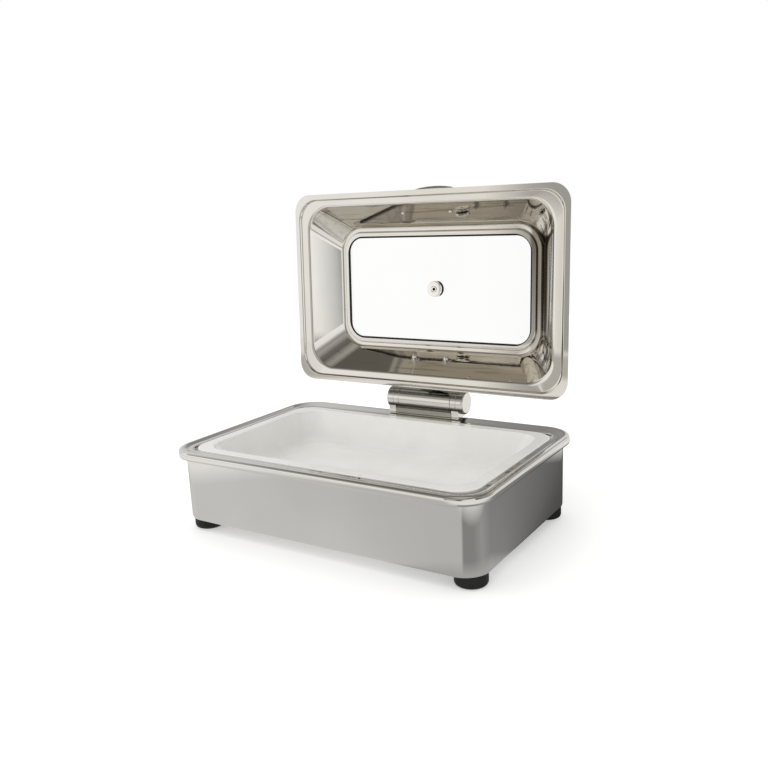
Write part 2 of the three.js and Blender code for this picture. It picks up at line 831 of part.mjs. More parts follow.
function hingeArm() {
  const near = lidSheet + seatGap;
  const far = near + armPlateThickness;
  const plate = sidePlate([
    besideWall(armPlateLow, near), besideWall(armPlateLow, far), besideWall(armPlateHigh, far),
    besideWall(armPlateHigh, near),
  ], armPlateWidth);
  const inner = hingeRadius + runGap;
  const outer = inner + armSaddleThickness;
  const onSaddle = (share, radius) => onBarrel(saddleFromDegrees + saddleSpanDegrees * share, radius);
  const saddlePoints = [];
  for (let i = 0; i <= saddleSteps; i += 1) saddlePoints.push(onSaddle(i / saddleSteps, inner));
  for (let i = saddleSteps; i >= 0; i -= 1) saddlePoints.push(onSaddle(i / saddleSteps, outer));
  const saddle = sidePlate(saddlePoints, armSaddleWidth);
  const middle = inner + armSaddleThickness / 2;
  const top = onSaddle(1 / saddleSteps, middle);
  const waist = onSaddle(1 / 2, middle);
  const bottom = onSaddle(1, middle);
  const root = near + armPlateThickness / 2;
  const ribOutline = [besideWall(armPlateLow, root), bottom, waist, top, besideWall(armRibHigh, far + armWeb),
    besideWall(armRibHigh, root)];
  const ribs = sides.map(([, sign]) => sidePlate(ribOutline, armRibWidth).translate(sign * armRibOut, 0, 0));
  const webOutline = [besideWall(armPlateLow, root), bottom, waist, besideWall(armPlateLow + armWeb, far)];
  const web = sidePlate(webOutline, 2 * armRibOut);
  const bores = sides.map(([, sign]) => wallPiece(
    bar(armBoltRadius + runGap, -cutOver, far + cutOver), 1, sign * armBoltOut, armBoltRise)
    .translate(...lidInHinge.toArray()));
  return cut(join([plate, saddle, web, ...ribs]), bores);
}

function armBolt() {
  const seat = lidSheet + 2 * seatGap + armPlateThickness;
  const end = -armWasherThickness - acornHex - 2 * seatGap;
  return join([hexagon(armBoltHead, seat, seat + armBoltHeadHeight), bar(armBoltRadius, end, seat + runGap)]);
}

function acornNut() {
  const seat = -armWasherThickness - 2 * seatGap;
  const low = seat - acornHex;
  const dome = [];
  for (let step = 0; step <= acornSteps; step += 1) {
    const angle = step / acornSteps * Math.PI / 2;
    dome.push([acornRadius * acornDomeShare * Math.cos(angle), low - acornDome * Math.sin(angle)]);
  }
  dome[acornSteps][0] = 0;
  const cap = outward(turned([[0, low + runGap], [dome[0][0], low + runGap], ...dome], smallSides));
  return cut(join([hexagon(acornRadius, low, seat), cap]),
    [bar(armBoltRadius + runGap / 2, low - runGap, seat + cutOver)]);
}

// The dish, with the lid and its half of the hinge in a group that turns about the hinge axis

const dish = new THREE.Group();
piece(dish, 'base_shell', baseShell(), polishedSteel, [0, 0, footHeight]);
piece(dish, 'rim_frame', rimFrame(), polishedSteel, [0, 0, rimLevel]);
piece(dish, 'heat_spreader', flatPlate(0, -spreaderThickness, 0), castAluminium, [0, 0, footHeight]);
const magnetLow = -spreaderThickness - magnetThickness;
piece(dish, 'induction_plate', flatPlate(magnetInset, magnetLow, -spreaderThickness), brushedSteel,
  [0, 0, footHeight]);
piece(dish, 'food_pan', foodPan(), porcelain, [0, 0, rimLevel]);
addFeet(dish);

const hinge = [0, hingeBack, hingeLevel];
piece(dish, 'hinge_bracket', hingeBracket(), polishedSteel, hinge);
piece(dish, 'bracket_cover', bracketCover(), polishedSteel, hinge);
sides.forEach(([side, sign]) => {
  piece(dish, `bracket_screw_${side}`, bracketScrew(), springSteel, [sign * screwOut, screwBack, rimLevel]);
  const capPlace = [sign * (eyeOut + runGap), hingeBack, hingeLevel];
  piece(dish, `hinge_cap_${side}`, aim(endCap(), ways[side], new THREE.Vector3()), polishedSteel, capPlace);
});
const shaftHalf = eyeOut + shaftBite;
piece(dish, 'hinge_shaft', aim(bar(shaftRadius, -shaftHalf, shaftHalf, roundSides), ways.right,
  new THREE.Vector3()), springSteel, hinge);

const turning = new THREE.Group();
turning.position.set(...hinge);
turning.rotation.x = -THREE.MathUtils.degToRad(openAngle);
dish.add(turning);
piece(turning, 'hinge_barrel', aim(barrel(), ways.right, new THREE.Vector3()), polishedSteel);
const cartridgeHalf = barrelHalf * cartridgeShare;
const innerFit = barrelBore - runGap;
piece(turning, 'damper_cartridge', aim(tube(boreRadius, innerFit, -cartridgeHalf, cartridgeHalf), ways.right,
  new THREE.Vector3()), castAluminium);
sides.forEach(([side]) => {
  const bush = tube(boreRadius, innerFit, barrelHalf - bushWidth, barrelHalf - runGap);
  piece(turning, `hinge_bush_${side}`, aim(bush, ways[side], new THREE.Vector3()), nylon);
});
piece(turning, 'hinge_arm', hingeArm(), polishedSteel);

const lid = new THREE.Group();
lid.position.copy(lidInHinge);
turning.add(lid);
piece(lid, 'lid_frame', lidFrame(), polishedSteel);
piece(lid, 'window_gasket', windowGasket(), blackRubber);
piece(lid, 'window_glass', windowGlass(), clearGlass);
piece(lid, 'vent_cap', ventCap(), polishedSteel);
piece(lid, 'vent_disc', ventDisc(), polishedSteel);
piece(lid, 'vent_washer_outer', ventRing(glassLow + glassThickness + seatGap), blackRubber);
piece(lid, 'vent_washer_inner', ventRing(glassLow - seatGap - ventWasher), blackRubber);
piece(lid, 'handle', handle(), polishedSteel);

function placeOnWall(name, geometry, material, end, x, rise) {
  const mesh = piece(lid, name, geometry, material);
  mesh.position.copy(wallPoint(end, x, rise));
  mesh.quaternion.setFromUnitVectors(new THREE.Vector3(0, 0, 1), wallOutward(end));
}

sides.forEach(([side, sign]) => {
  placeOnWall(`handle_screw_${side}`, handleScrew(), polishedSteel, -1, sign * handleOut, handleRise);
  placeOnWall(`arm_bolt_${side}`, armBolt(), springSteel, 1, sign * armBoltOut, armBoltRise);
  placeOnWall(`acorn_nut_${side}`, acornNut(), polishedSteel, 1, sign * armBoltOut, armBoltRise);
  const washerLow = -armWasherThickness - seatGap;
  const washer = tube(armBoltRadius + runGap, armWasherRadius, washerLow, -seatGap, smallSides);
  placeOnWall(`arm_washer_${side}`, washer, polishedSteel, 1, sign * armBoltOut, armBoltRise);
});

// The origin lies on the table under the middle of the whole outline, lid open
dish.updateMatrixWorld(true);
const extent = new THREE.Box3().setFromObject(dish, true);
dish.position.y = -(extent.min.y + extent.max.y) / 2;

export default dish;
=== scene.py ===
import math

import bmesh
import bpy
from mathutils import Matrix, Vector


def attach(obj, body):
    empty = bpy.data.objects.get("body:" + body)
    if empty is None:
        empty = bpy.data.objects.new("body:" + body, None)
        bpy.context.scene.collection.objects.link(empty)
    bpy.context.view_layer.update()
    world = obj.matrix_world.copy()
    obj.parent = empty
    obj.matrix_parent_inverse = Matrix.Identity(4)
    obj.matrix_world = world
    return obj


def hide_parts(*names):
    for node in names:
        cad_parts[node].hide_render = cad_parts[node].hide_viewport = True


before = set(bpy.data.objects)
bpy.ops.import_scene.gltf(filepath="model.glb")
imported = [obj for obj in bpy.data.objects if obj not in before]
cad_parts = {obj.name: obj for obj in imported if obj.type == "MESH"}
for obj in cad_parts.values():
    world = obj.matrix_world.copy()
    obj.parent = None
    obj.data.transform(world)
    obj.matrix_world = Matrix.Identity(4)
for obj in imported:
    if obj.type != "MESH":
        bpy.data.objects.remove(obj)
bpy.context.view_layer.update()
mm = 0.001
print("frame loaded")

# where the dish's own sketches sit in the frame: y counts from the pan's middle, lengths in mm
layout = {
    "shiftY": -31.6998,
    "footHeight": 20,
    "rimLevel": 142.5,
    "hingeY": 199,
    "hingeZ": 170.2,
    "openDegrees": 92.5,
    "lidY": -204.65,
    "lidZ": -24.9,
}
onTable = Matrix.Translation((0, layout["shiftY"] * mm, 0))
onRim = Matrix.Translation((0, layout["shiftY"] * mm, layout["rimLevel"] * mm))
onFloor = Matrix.Translation((0, layout["shiftY"] * mm, layout["footHeight"] * mm))
onHinge = Matrix.Translation((0, (layout["hingeY"] + layout["shiftY"]) * mm, layout["hingeZ"] * mm))
openTurn = Matrix.Rotation(math.radians(-layout["openDegrees"]), 4, "X")
onBarrel = onHinge @ openTurn
onLid = onBarrel @ Matrix.Translation((0, layout["lidY"] * mm, layout["lidZ"] * mm))

# camera: the photo's view
camera = {
    "place": (0.7458, -1.1513, 0.5325),
    "yawDegrees": -32.6,
    "dipDegrees": 12.26,
    "rollDegrees": -2.54,
    "lens": 38.845,
    "sensor": 36,
    "near": 0.01,
}


def aimCamera():
    yaw, dip = math.radians(camera["yawDegrees"]), math.radians(camera["dipDegrees"])
    roll = math.radians(camera["rollDegrees"])
    ahead = Vector((math.sin(yaw) * math.cos(dip), math.cos(yaw) * math.cos(dip), -math.sin(dip)))
    level = Vector((math.cos(yaw), -math.sin(yaw), 0))
    upright = level.cross(ahead)
    right = math.cos(roll) * level + math.sin(roll) * upright
    up = math.cos(roll) * upright - math.sin(roll) * level
    bpy.ops.object.camera_add()
    eye = bpy.context.object
    eye.name = "camera"
    eye.matrix_world = Matrix.Translation(camera["place"]) @ Matrix((right, up, -ahead)).transposed().to_4x4()
    eye.data.sensor_width = camera["sensor"]
    eye.data.lens = camera["lens"]
    eye.data.clip_start = camera["near"]
    bpy.context.scene.camera = eye


aimCamera()
print("camera aimed")


# modelling helpers
def onlySelect(piece):
    bpy.ops.object.select_all(action="DESELECT")
    piece.select_set(True)
    bpy.context.view_layer.objects.active = piece


# an empty mesh in edit mode, whose corners can be numbered by ring
def openPiece(name):
    bpy.ops.object.select_all(action="DESELECT")
    bpy.ops.mesh.primitive_plane_add(size=mm)
    piece = bpy.context.object
    piece.name = name
    piece.data.name = name
    bpy.ops.object.mode_set(mode="EDIT")
    bpy.ops.mesh.delete(type="VERT")
    bmesh.from_edit_mesh(piece.data).verts.layers.int.new("ring")
    return piece


# numbers the ring that is selected
def tagRing(piece, number):
    cage = bmesh.from_edit_mesh(piece.data)
    ring = cage.verts.layers.int["ring"]
    for corner in cage.verts:
        if corner.select:
            corner[ring] = number


def selectRings(piece, numbers, inside=None):
    bpy.ops.mesh.select_mode(type="VERT")
    bpy.ops.mesh.select_all(action="DESELECT")
    cage = bmesh.from_edit_mesh(piece.data)
    ring = cage.verts.layers.int["ring"]
    for corner in cage.verts:
        if corner[ring] in numbers and (inside is None or inside(corner.co)):
            corner.select_set(True)
    cage.select_flush(True)
    bmesh.update_edit_mesh(piece.data)


def extrudeRing(piece, number):
    selectRings(piece, (number - 1,))
    bpy.ops.mesh.extrude_edges_move()
    tagRing(piece, number)


# ends says whether the rings close into a loop or which ends are filled
def closeEnds(piece, count, ends):
    if ends == "loop":
        selectRings(piece, (count, 1))
        bpy.ops.mesh.bridge_edge_loops()
    for number in {"both": (1, count), "first": (1,)}.get(ends, ()):
        selectRings(piece, (number,))
        bpy.ops.mesh.edge_face_add()
    bpy.ops.mesh.select_all(action="SELECT")
    bpy.ops.mesh.normals_make_consistent(inside=False)
    if ends in ("both", "loop") and bmesh.from_edit_mesh(piece.data).calc_volume(signed=True) < 0:
        bpy.ops.mesh.flip_normals()
    bpy.ops.object.mode_set(mode="OBJECT")


def cornerMiddle(ring, sideX, sideY):
    halfX, front, back, corner, z = ring
    return Vector((sideX * (halfX - corner), back - corner if sideY > 0 else front + corner, z))


# the first ring of a sheet: a rectangle with rounded corners
def startSheet(piece, ring, cuts):
    halfX, front, back, corner, z = ring
    centre = (0, (front + back) / 2, z)
    bpy.ops.mesh.primitive_plane_add(size=1, location=centre)
    bpy.ops.transform.resize(value=(2 * halfX, back - front, 1), center_override=centre)
    bpy.ops.mesh.bevel(offset=corner, affect="VERTICES", segments=cuts, profile=0.5, clamp_overlap=False)
    bpy.ops.mesh.select_all(action="SELECT")
    tagRing(piece, 1)
    bpy.ops.mesh.delete(type="ONLY_FACE")


# pulls a sheet out ring by ring: each corner of the new ring is scaled and moved to its own radius and place;
# a ring is (half length, front, back, corner radius, height)
def sheetPiece(name, rings, ends, cuts=12):
    rings = [tuple(value * mm for value in ring) for ring in rings]
    piece = openPiece(name)
    startSheet(piece, rings[0], cuts)
    for number, (last, ring) in enumerate(zip(rings, rings[1:]), 2):
        extrudeRing(piece, number)
        middle = (last[1] + last[2]) / 2
        for sideX, sideY in ((1, 1), (-1, 1), (-1, -1), (1, -1)):
            selectRings(piece, (number,), lambda at: at.x * sideX > 0 and (at.y - middle) * sideY > 0)
            before, after = cornerMiddle(last, sideX, sideY), cornerMiddle(ring, sideX, sideY)
            growth = ring[3] / last[3]
            bpy.ops.transform.resize(value=(growth, growth, 1), center_override=before)
            bpy.ops.transform.translate(value=after - before)
    closeEnds(piece, len(rings), ends)
    return piece


# a round piece about Z: each ring is (radius, height)
def turnedPiece(name, rings, ends, sides=64):
    piece = openPiece(name)
    bpy.ops.mesh.primitive_circle_add(vertices=sides, radius=rings[0][0] * mm, location=(0, 0, rings[0][1] * mm))
    tagRing(piece, 1)
    for number, (last, ring) in enumerate(zip(rings, rings[1:]), 2):
        extrudeRing(piece, number)
        growth = ring[0] / last[0]
        bpy.ops.transform.resize(value=(growth, growth, 1), center_override=(0, 0, last[1] * mm))
        bpy.ops.transform.translate(value=(0, 0, (ring[1] - last[1]) * mm))
    closeEnds(piece, len(rings), ends)
    return piece


# makes an open sheet face the given way, so that its thickness goes to the other side
def faceTowards(piece, direction):
    total = sum((face.normal * face.area for face in piece.data.polygons), Vector())
    if total.dot(Vector(direction)) < 0:
        onlySelect(piece)
        bpy.ops.object.mode_set(mode="EDIT")
        bpy.ops.mesh.select_all(action="SELECT")
        bpy.ops.mesh.flip_normals()
        bpy.ops.object.mode_set(mode="OBJECT")


def useModifier(piece, kind, **settings):
    onlySelect(piece)
    bpy.ops.object.modifier_add(type=kind)
    modifier = piece.modifiers[-1]
    for name, value in settings.items():
        setattr(modifier, name, value)
    bpy.ops.object.modifier_apply(modifier=modifier.name)


def thicken(piece, thickness, direction):
    faceTowards(piece, direction)
    useModifier(piece, "SOLIDIFY", thickness=thickness * mm, offset=-1, use_even_offset=True)


def roundEdges(piece, width, segments=2, degrees=40):
    useModifier(piece, "BEVEL", width=width * mm, segments=segments, limit_method="ANGLE",
                angle_limit=math.radians(degrees), harden_normals=False)


def combine(piece, other, way, **settings):
    useModifier(piece, "BOOLEAN", object=other, operation=way, solver="EXACT", **settings)
    bpy.data.objects.remove(other)


def putAt(piece, place):
    onlySelect(piece)
    piece.matrix_world = place
    bpy.ops.object.transform_apply(location=True, rotation=True, scale=True)


def joinPieces(pieces):
    bpy.ops.object.select_all(action="DESELECT")
    for piece in pieces:
        piece.select_set(True)
    bpy.context.view_layer.objects.active = pieces[0]
    bpy.ops.object.join()
    return pieces[0]


def copyPiece(piece, name):
    other = piece.copy()
    other.data = piece.data.copy()
    other.name = name
    other.data.name = name
    bpy.context.scene.collection.objects.link(other)
    return other


# a place of None is for a piece that is there already
def finishPiece(piece, place, material, slot, body, *nodes, degrees=32):
    if place is not None:
        putAt(piece, place)
    onlySelect(piece)
    bpy.ops.object.shade_smooth_by_angle(angle=math.radians(degrees))
    useModifier(piece, "WEIGHTED_NORMAL", keep_sharp=True, weight=80)
    piece.data.materials.clear()
    piece.data.materials.append(material)
    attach(piece, body)
    if nodes:
        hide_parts(*nodes)


# rounds the corners of a section: each entry is (across, up, corner radius, bend)
def bentPath(section, steps=5):
    path = [Vector(section[0][:3])]
    for before, here, after in zip(section, section[1:], section[2:]):
        corner, reach = Vector(here[:3]), here[3]
        back, on = Vector(before[:3]) - corner, Vector(after[:3]) - corner
        start, end = corner + back * (reach / back.length), corner + on * (reach / on.length)
        for step in range(steps + 1):
            share = step / steps
            path.append(start * (1 - share) ** 2 + corner * 2 * share * (1 - share) + end * share**2)
    path.append(Vector(section[-1][:3]))
    return path


def partShare(value):
    return min(max(value, 0), 1)


# the angles of a quarter circle
def quarterTurns(steps):
    return [step / steps * math.pi / 2 for step in range(steps + 1)]


# a dome from its tip to its foot, which lies at the given level
def domeRings(radius, level, height, steps):
    return [(radius * math.sin(turn), level - height * math.cos(turn)) for turn in quarterTurns(steps)[1:]]


leftRight = (("left", -1), ("right", 1))


# materials
def startMaterial(name):
    material = bpy.data.materials.new(name)
    material.use_nodes = True
    nodes, links = material.node_tree.nodes, material.node_tree.links
    place = nodes.new("ShaderNodeTexCoord")
    return material, nodes, links, nodes["Principled BSDF"], place.outputs["Object"]


def addNoise(nodes, links, vector, scale, detail=3.0, stretch=(1, 1, 1)):
    mapping = nodes.new("ShaderNodeMapping")
    mapping.inputs["Scale"].default_value = stretch
    links.new(vector, mapping.inputs["Vector"])
    noise = nodes.new("ShaderNodeTexNoise")
    noise.inputs["Scale"].default_value = scale
    noise.inputs["Detail"].default_value = detail
    links.new(mapping.outputs["Vector"], noise.inputs["Vector"])
    return noise.outputs["Fac"]


def addRange(nodes, links, value, low, high, start=0.3, end=0.7):
    spread = nodes.new("ShaderNodeMapRange")
    spread.inputs["From Min"].default_value = start
    spread.inputs["From Max"].default_value = end
    spread.inputs["To Min"].default_value = low
    spread.inputs["To Max"].default_value = high
    links.new(value, spread.inputs["Value"])
    return spread.outputs["Result"]


def addColours(nodes, links, value, first, second, start=0.35, end=0.65):
    ramp = nodes.new("ShaderNodeValToRGB")
    ramp.color_ramp.elements[0].position = start
    ramp.color_ramp.elements[0].color = (*first, 1)
    ramp.color_ramp.elements[1].position = end
    ramp.color_ramp.elements[1].color = (*second, 1)
    links.new(value, ramp.inputs["Fac"])
    return ramp.outputs["Color"]


def addBump(nodes, links, value, distance, strength=1.0, under=None):
    bump = nodes.new("ShaderNodeBump")
    bump.inputs["Strength"].default_value = strength
    bump.inputs["Distance"].default_value = distance
    links.new(value, bump.inputs["Height"])
    if under is not None:
        links.new(under, bump.inputs["Normal"])
    return bump.outputs["Normal"]


def addMath(nodes, links, operation, first, second=0.0):
    step = nodes.new("ShaderNodeMath")
    step.operation = operation
    for socket, value in zip(step.inputs, (first, second)):
        if isinstance(value, (int, float)):
            socket.default_value = value
        else:
            links.new(value, socket)
    return step.outputs[0]


def mixColours(nodes, links, share, first, second):
    mix = nodes.new("ShaderNodeMix")
    mix.data_type = "RGBA"
    links.new(share, mix.inputs["Factor"])
    for socket, value in ((mix.inputs[6], first), (mix.inputs[7], second)):
        if isinstance(value, tuple):
            socket.default_value = value
        else:
            links.new(value, socket)
    return mix.outputs[2]


# each noise is (scale, detail, stretch)
steelLook = {
    "mirror": ((0.79, 0.78, 0.75), (0.83, 0.82, 0.79)),
    "bright": ((0.94, 0.94, 0.93), (0.98, 0.98, 0.97)),
    # painted shade: darker colours of the same polished steel, for the bracket cover, which mirrors the dark pan and
    # rim
    "paintedShade": ((0.34, 0.335, 0.3), (0.4, 0.395, 0.36)),
    "roughness": (0.025, 0.055),
    "cloudNoise": (7.0, 2.0),
    "grainNoise": (240.0, 2.0, (0.12, 1, 1)),
    "smearNoise": (38.0, 5.0),
    "wave": 0.00012,
    "grain": 0.000004,
}


def polishedSteelLook(name, colours):
    material, nodes, links, shader, place = startMaterial(name)
    cloud = addNoise(nodes, links, place, *steelLook["cloudNoise"])
    grain = addNoise(nodes, links, place, *steelLook["grainNoise"])
    smear = addNoise(nodes, links, place, *steelLook["smearNoise"])
    links.new(addColours(nodes, links, cloud, *steelLook[colours]), shader.inputs["Base Color"])
    links.new(addRange(nodes, links, smear, *steelLook["roughness"]), shader.inputs["Roughness"])
    soft = addBump(nodes, links, cloud, steelLook["wave"])
    links.new(addBump(nodes, links, grain, steelLook["grain"], 1.0, soft), shader.inputs["Normal"])
    shader.inputs["Metallic"].default_value = 1.0
    return material


# painted reflections: the pressing's inside walls mirror each other, so their colour is painted warmer and streaked
# above, below and on the right, and ring is a painted shade on the right side of the window ring. over, under and
# right are two colours and where the noise passes from one to the other; each turn is the part of the surface's
# direction, and ringX and ringY the place in metres, over which each painted colour comes in
paintedLidReflections = {
    "middle": (0, 0.23, 0.375),
    "reflectionStreakNoise": (150.0, 3.0, (0.07, 1, 1)),
    "reflectionBandNoise": (95.0, 2.0, (1, 1, 0.03)),
    "over": ((0.4, 0.375, 0.325), (0.61, 0.575, 0.51), 0.32, 0.46),
    "under": ((0.58, 0.55, 0.49), (0.76, 0.725, 0.655), 0.3, 0.42),
    "right": ((0.1, 0.09, 0.075), (0.74, 0.69, 0.615), 0.4, 0.56),
    "upTurn": (-0.3, 0.3),
    "rightTurn": (-0.62, -0.35),
    "leftTurn": (0.3, 0.7),
    "frontTurn": (0, -0.25),
    "inwardTurn": (-0.04, -0.02),
    "ring": (0.3, 0.27, 0.23),
    "ringX": (0.186, 0.192),
    "ringY": (0.2, 0.208),
    "ringTurn": (0, -0.3),
}


def lidSteelLook():
    material = polishedSteelLook("lidSteel", "mirror")
    nodes, links = material.node_tree.nodes, material.node_tree.links
    shader, place = nodes["Principled BSDF"], nodes["Texture Coordinate"]
    plain = shader.inputs["Base Color"].links[0].from_socket
    offset, inward = nodes.new("ShaderNodeVectorMath"), nodes.new("ShaderNodeVectorMath")
    facing, spot = nodes.new("ShaderNodeSeparateXYZ"), nodes.new("ShaderNodeSeparateXYZ")
    offset.operation, inward.operation = "SUBTRACT", "DOT_PRODUCT"
    offset.inputs[1].default_value = paintedLidReflections["middle"]
    links.new(place.outputs["Object"], offset.inputs[0])
    links.new(offset.outputs["Vector"], inward.inputs[0])
    links.new(place.outputs["Normal"], inward.inputs[1])
    links.new(place.outputs["Normal"], facing.inputs[0])
    links.new(place.outputs["Object"], spot.inputs[0])
    turnX, turnY, turnZ = facing.outputs
    reflectionStreaks = addNoise(nodes, links, place.outputs["Object"], *paintedLidReflections["reflectionStreakNoise"])
    reflectionBands = addNoise(nodes, links, place.outputs["Object"], *paintedLidReflections["reflectionBandNoise"])
    over = addColours(nodes, links, reflectionStreaks, *paintedLidReflections["over"])
    under = addColours(nodes, links, reflectionStreaks, *paintedLidReflections["under"])
    right = addColours(nodes, links, reflectionBands, *paintedLidReflections["right"])
    # painted reflections: the wall colours above, below and on the right, mixed over the plain steel where the walls
    # face inwards
    walls = mixColours(nodes, links, addRange(nodes, links, turnZ, 0, 1, *paintedLidReflections["upTurn"]), over, under)
    walls = mixColours(nodes, links, addRange(nodes, links, turnX, 1, 0, *paintedLidReflections["rightTurn"]), walls, right)
    share = addRange(nodes, links, inward.outputs["Value"], 1, 0, *paintedLidReflections["inwardTurn"])
    for factor in (addRange(nodes, links, turnX, 1, 0, *paintedLidReflections["leftTurn"]),
                   addRange(nodes, links, turnY, 0, 1, *paintedLidReflections["frontTurn"])):
        share = addMath(nodes, links, "MULTIPLY", share, factor)
    walls = mixColours(nodes, links, share, plain, walls)
    # painted shade: a dark band on the right side of the window ring
    ring = addRange(nodes, links, spot.outputs[0], 0, 1, *paintedLidReflections["ringX"])
    for factor in (addRange(nodes, links, spot.outputs[1], 0, 1, *paintedLidReflections["ringY"]),
                   addRange(nodes, links, turnY, 0, 1, *paintedLidReflections["ringTurn"])):
        ring = addMath(nodes, links, "MULTIPLY", ring, factor)
    links.new(mixColours(nodes, links, ring, walls, (*paintedLidReflections["ring"], 1)), shader.inputs["Base Color"])
    return material


# painted reflections: the hinge's round parts are painted darker where they face up and down, for the dark lid they
# mirror above them and the pan's dark edge below
hingeLook = {"shade": (0.3, 0.295, 0.265), "above": (0.44, 0.56), "below": (-0.36, -0.5)}


def hingeSteelLook():
    material = polishedSteelLook("hingeSteel", "mirror")
    nodes, links = material.node_tree.nodes, material.node_tree.links
    shader = nodes["Principled BSDF"]
    plain = shader.inputs["Base Color"].links[0].from_socket
    turn, facing = nodes.new("ShaderNodeNewGeometry"), nodes.new("ShaderNodeSeparateXYZ")
    links.new(turn.outputs["Normal"], facing.inputs[0])
    above = addRange(nodes, links, facing.outputs[2], 0, 1, *hingeLook["above"])
    below = addRange(nodes, links, facing.outputs[2], 0, 1, *hingeLook["below"])
    share = addMath(nodes, links, "MAXIMUM", above, below)
    # painted reflection: the shade colour comes in where the surface faces up or down
    links.new(mixColours(nodes, links, share, plain, (*hingeLook["shade"], 1)), shader.inputs["Base Color"])
    return material


# finishes of one or two noises; uses says which of them carries the colour, the roughness and the bump
plainLooks = {
    "plainSteel": {
        "noises": [(900.0, 3.0, (0.05, 1, 1))],
        "colours": ((0.52, 0.51, 0.49), (0.62, 0.61, 0.59)),
        "roughness": (0.24, 0.4),
        "bump": 0.00002,
        "sockets": {"Metallic": 1.0},
    },
    "castAluminium": {
        "noises": [(700.0, 5.0)],
        "colours": ((0.56, 0.57, 0.58), (0.68, 0.69, 0.7)),
        "roughness": (0.36, 0.52),
        "bump": 0.00008,
        "sockets": {"Metallic": 1.0},
    },
    "porcelainGlaze": {
        "noises": [(14.0, 3.0), (160.0, 2.0)],
        "uses": (0, 1, 1),
        "colours": ((0.82, 0.81, 0.78), (0.865, 0.855, 0.83)),
        "roughness": (0.1, 0.17),
        "bump": 0.00005,
        "sockets": {"Coat Weight": 0.5, "Coat Roughness": 0.05},
    },
    "blackRubber": {
        "noises": [(1500.0, 3.0), (60.0, 4.0)],
        "uses": (1, 1, 0),
        "colours": ((0.010, 0.010, 0.009), (0.02, 0.02, 0.018)),
        "roughness": (0.5, 0.68),
        "bump": 0.00004,
        "sockets": {"Specular IOR Level": 0.35},
    },
    "nylonBush": {
        "noises": [(500.0, 3.0)],
        "colours": ((0.74, 0.71, 0.64), (0.8, 0.77, 0.7)),
        "roughness": (0.4, 0.52),
    },
    "clearGlass": {
        "noises": [(11.0, 4.0)],
        "colours": ((0.985, 0.99, 0.985), (0.995, 1.0, 0.995)),
        "roughness": (0.0, 0.02),
        "sockets": {"Transmission Weight": 1.0, "IOR": 1.45},
    },
}


def plainLook(name):
    look = plainLooks[name]
    material, nodes, links, shader, place = startMaterial(name)
    noises = [addNoise(nodes, links, place, *noise) for noise in look["noises"]]
    tint, wear, grain = (noises[number] for number in look.get("uses", (0, 0, 0)))
    links.new(addColours(nodes, links, tint, *look["colours"]), shader.inputs["Base Color"])
    links.new(addRange(nodes, links, wear, *look["roughness"]), shader.inputs["Roughness"])
    if "bump" in look:
        links.new(addBump(nodes, links, grain, look["bump"]), shader.inputs["Normal"])
    for socket, value in look.get("sockets", {}).items():
        shader.inputs[socket].default_value = value
    return material


polishedSteel = polishedSteelLook("polishedSteel", "mirror")
brightSteel = polishedSteelLook("brightSteel", "bright")
# painted shade: a darker copy of the polished steel, used on the bracket cover
paintedShadeSteel = polishedSteelLook("paintedShadeSteel", "paintedShade")
lidSteel, hingeSteel = lidSteelLook(), hingeSteelLook()
plainSteel, castAluminium = plainLook("plainSteel"), plainLook("castAluminium")
porcelain, blackRubber = plainLook("porcelainGlaze"), plainLook("blackRubber")
nylon, clearGlass = plainLook("nylonBush"), plainLook("clearGlass")
print("materials made")

# body shell: out, height and corner are counted from the straight walls
bodyShell = {
    "length": 562,
    "width": 358,
    "corner": 39.5,
    "draft": 0.7,
    "bend": 6,
    "setBack": 4,
    "sheet": 1.2,
    "floorFlat": 25,
    "cove": 5,
    "flangeReach": 6.3,
    "flangeExtra": 6,
    "flangeCorner": 51,
    "flangeLevel": 112.0,
}


def bodyRings(path):
    rings = []
    for out, z, corner in path:
        reach = (out - bodyShell["cove"]) / (bodyShell["flangeReach"] - bodyShell["cove"])
        halfY = bodyShell["width"] / 2 + out + bodyShell["flangeExtra"] * partShare(reach)
        rings.append((bodyShell["length"] / 2 + out, bodyShell["setBack"] - halfY, bodyShell["setBack"] + halfY,
                      corner, z))
    return rings


# the body's profile from its floor to its flange, grown outwards where another piece is cut to it
def bodyPath(grown=0):
    draft, flat, corner = bodyShell["draft"], bodyShell["floorFlat"], bodyShell["corner"]
    return bentPath([
        (grown - draft - flat, -grown, corner - draft - flat),
        (grown - draft, -grown, corner - draft + grown, bodyShell["bend"] + grown),
        (grown, bodyShell["flangeLevel"], corner + grown, bodyShell["cove"]),
        (bodyShell["flangeReach"], bodyShell["flangeLevel"], bodyShell["flangeCorner"]),
    ], 6)


def makeBody():
    shell = sheetPiece("bodyShell", bodyRings(bodyPath()), "first", 16)
    thicken(shell, bodyShell["sheet"], (0, 0, -1))
    finishPiece(shell, onFloor, polishedSteel, "polished_steel", "base", "base_shell")


makeBody()
print("body shell made")

# rim frame: ledge under the pan, step, flat strip, rising band and rolled bead
rimFrame = {
    "length": 530,
    "width": 325,
    "sheet": 1.2,
    "fold": 10,
    "crown": 18.5,
    "frontExtra": 2.5,
    "backExtra": 10.5,
    "section": [
        (-10, -5.3, 20), (2, -5.3, 27, 1.8), (2, -0.6, 27, 1.8), (10, -0.6, 37, 2.5), (18.5, 3.2, 46.5, 4.6),
        (26, 0.4, 54, 4.6), (26, -12, 54, 3.8), (21.8, -12, 49.8),
    ],
}


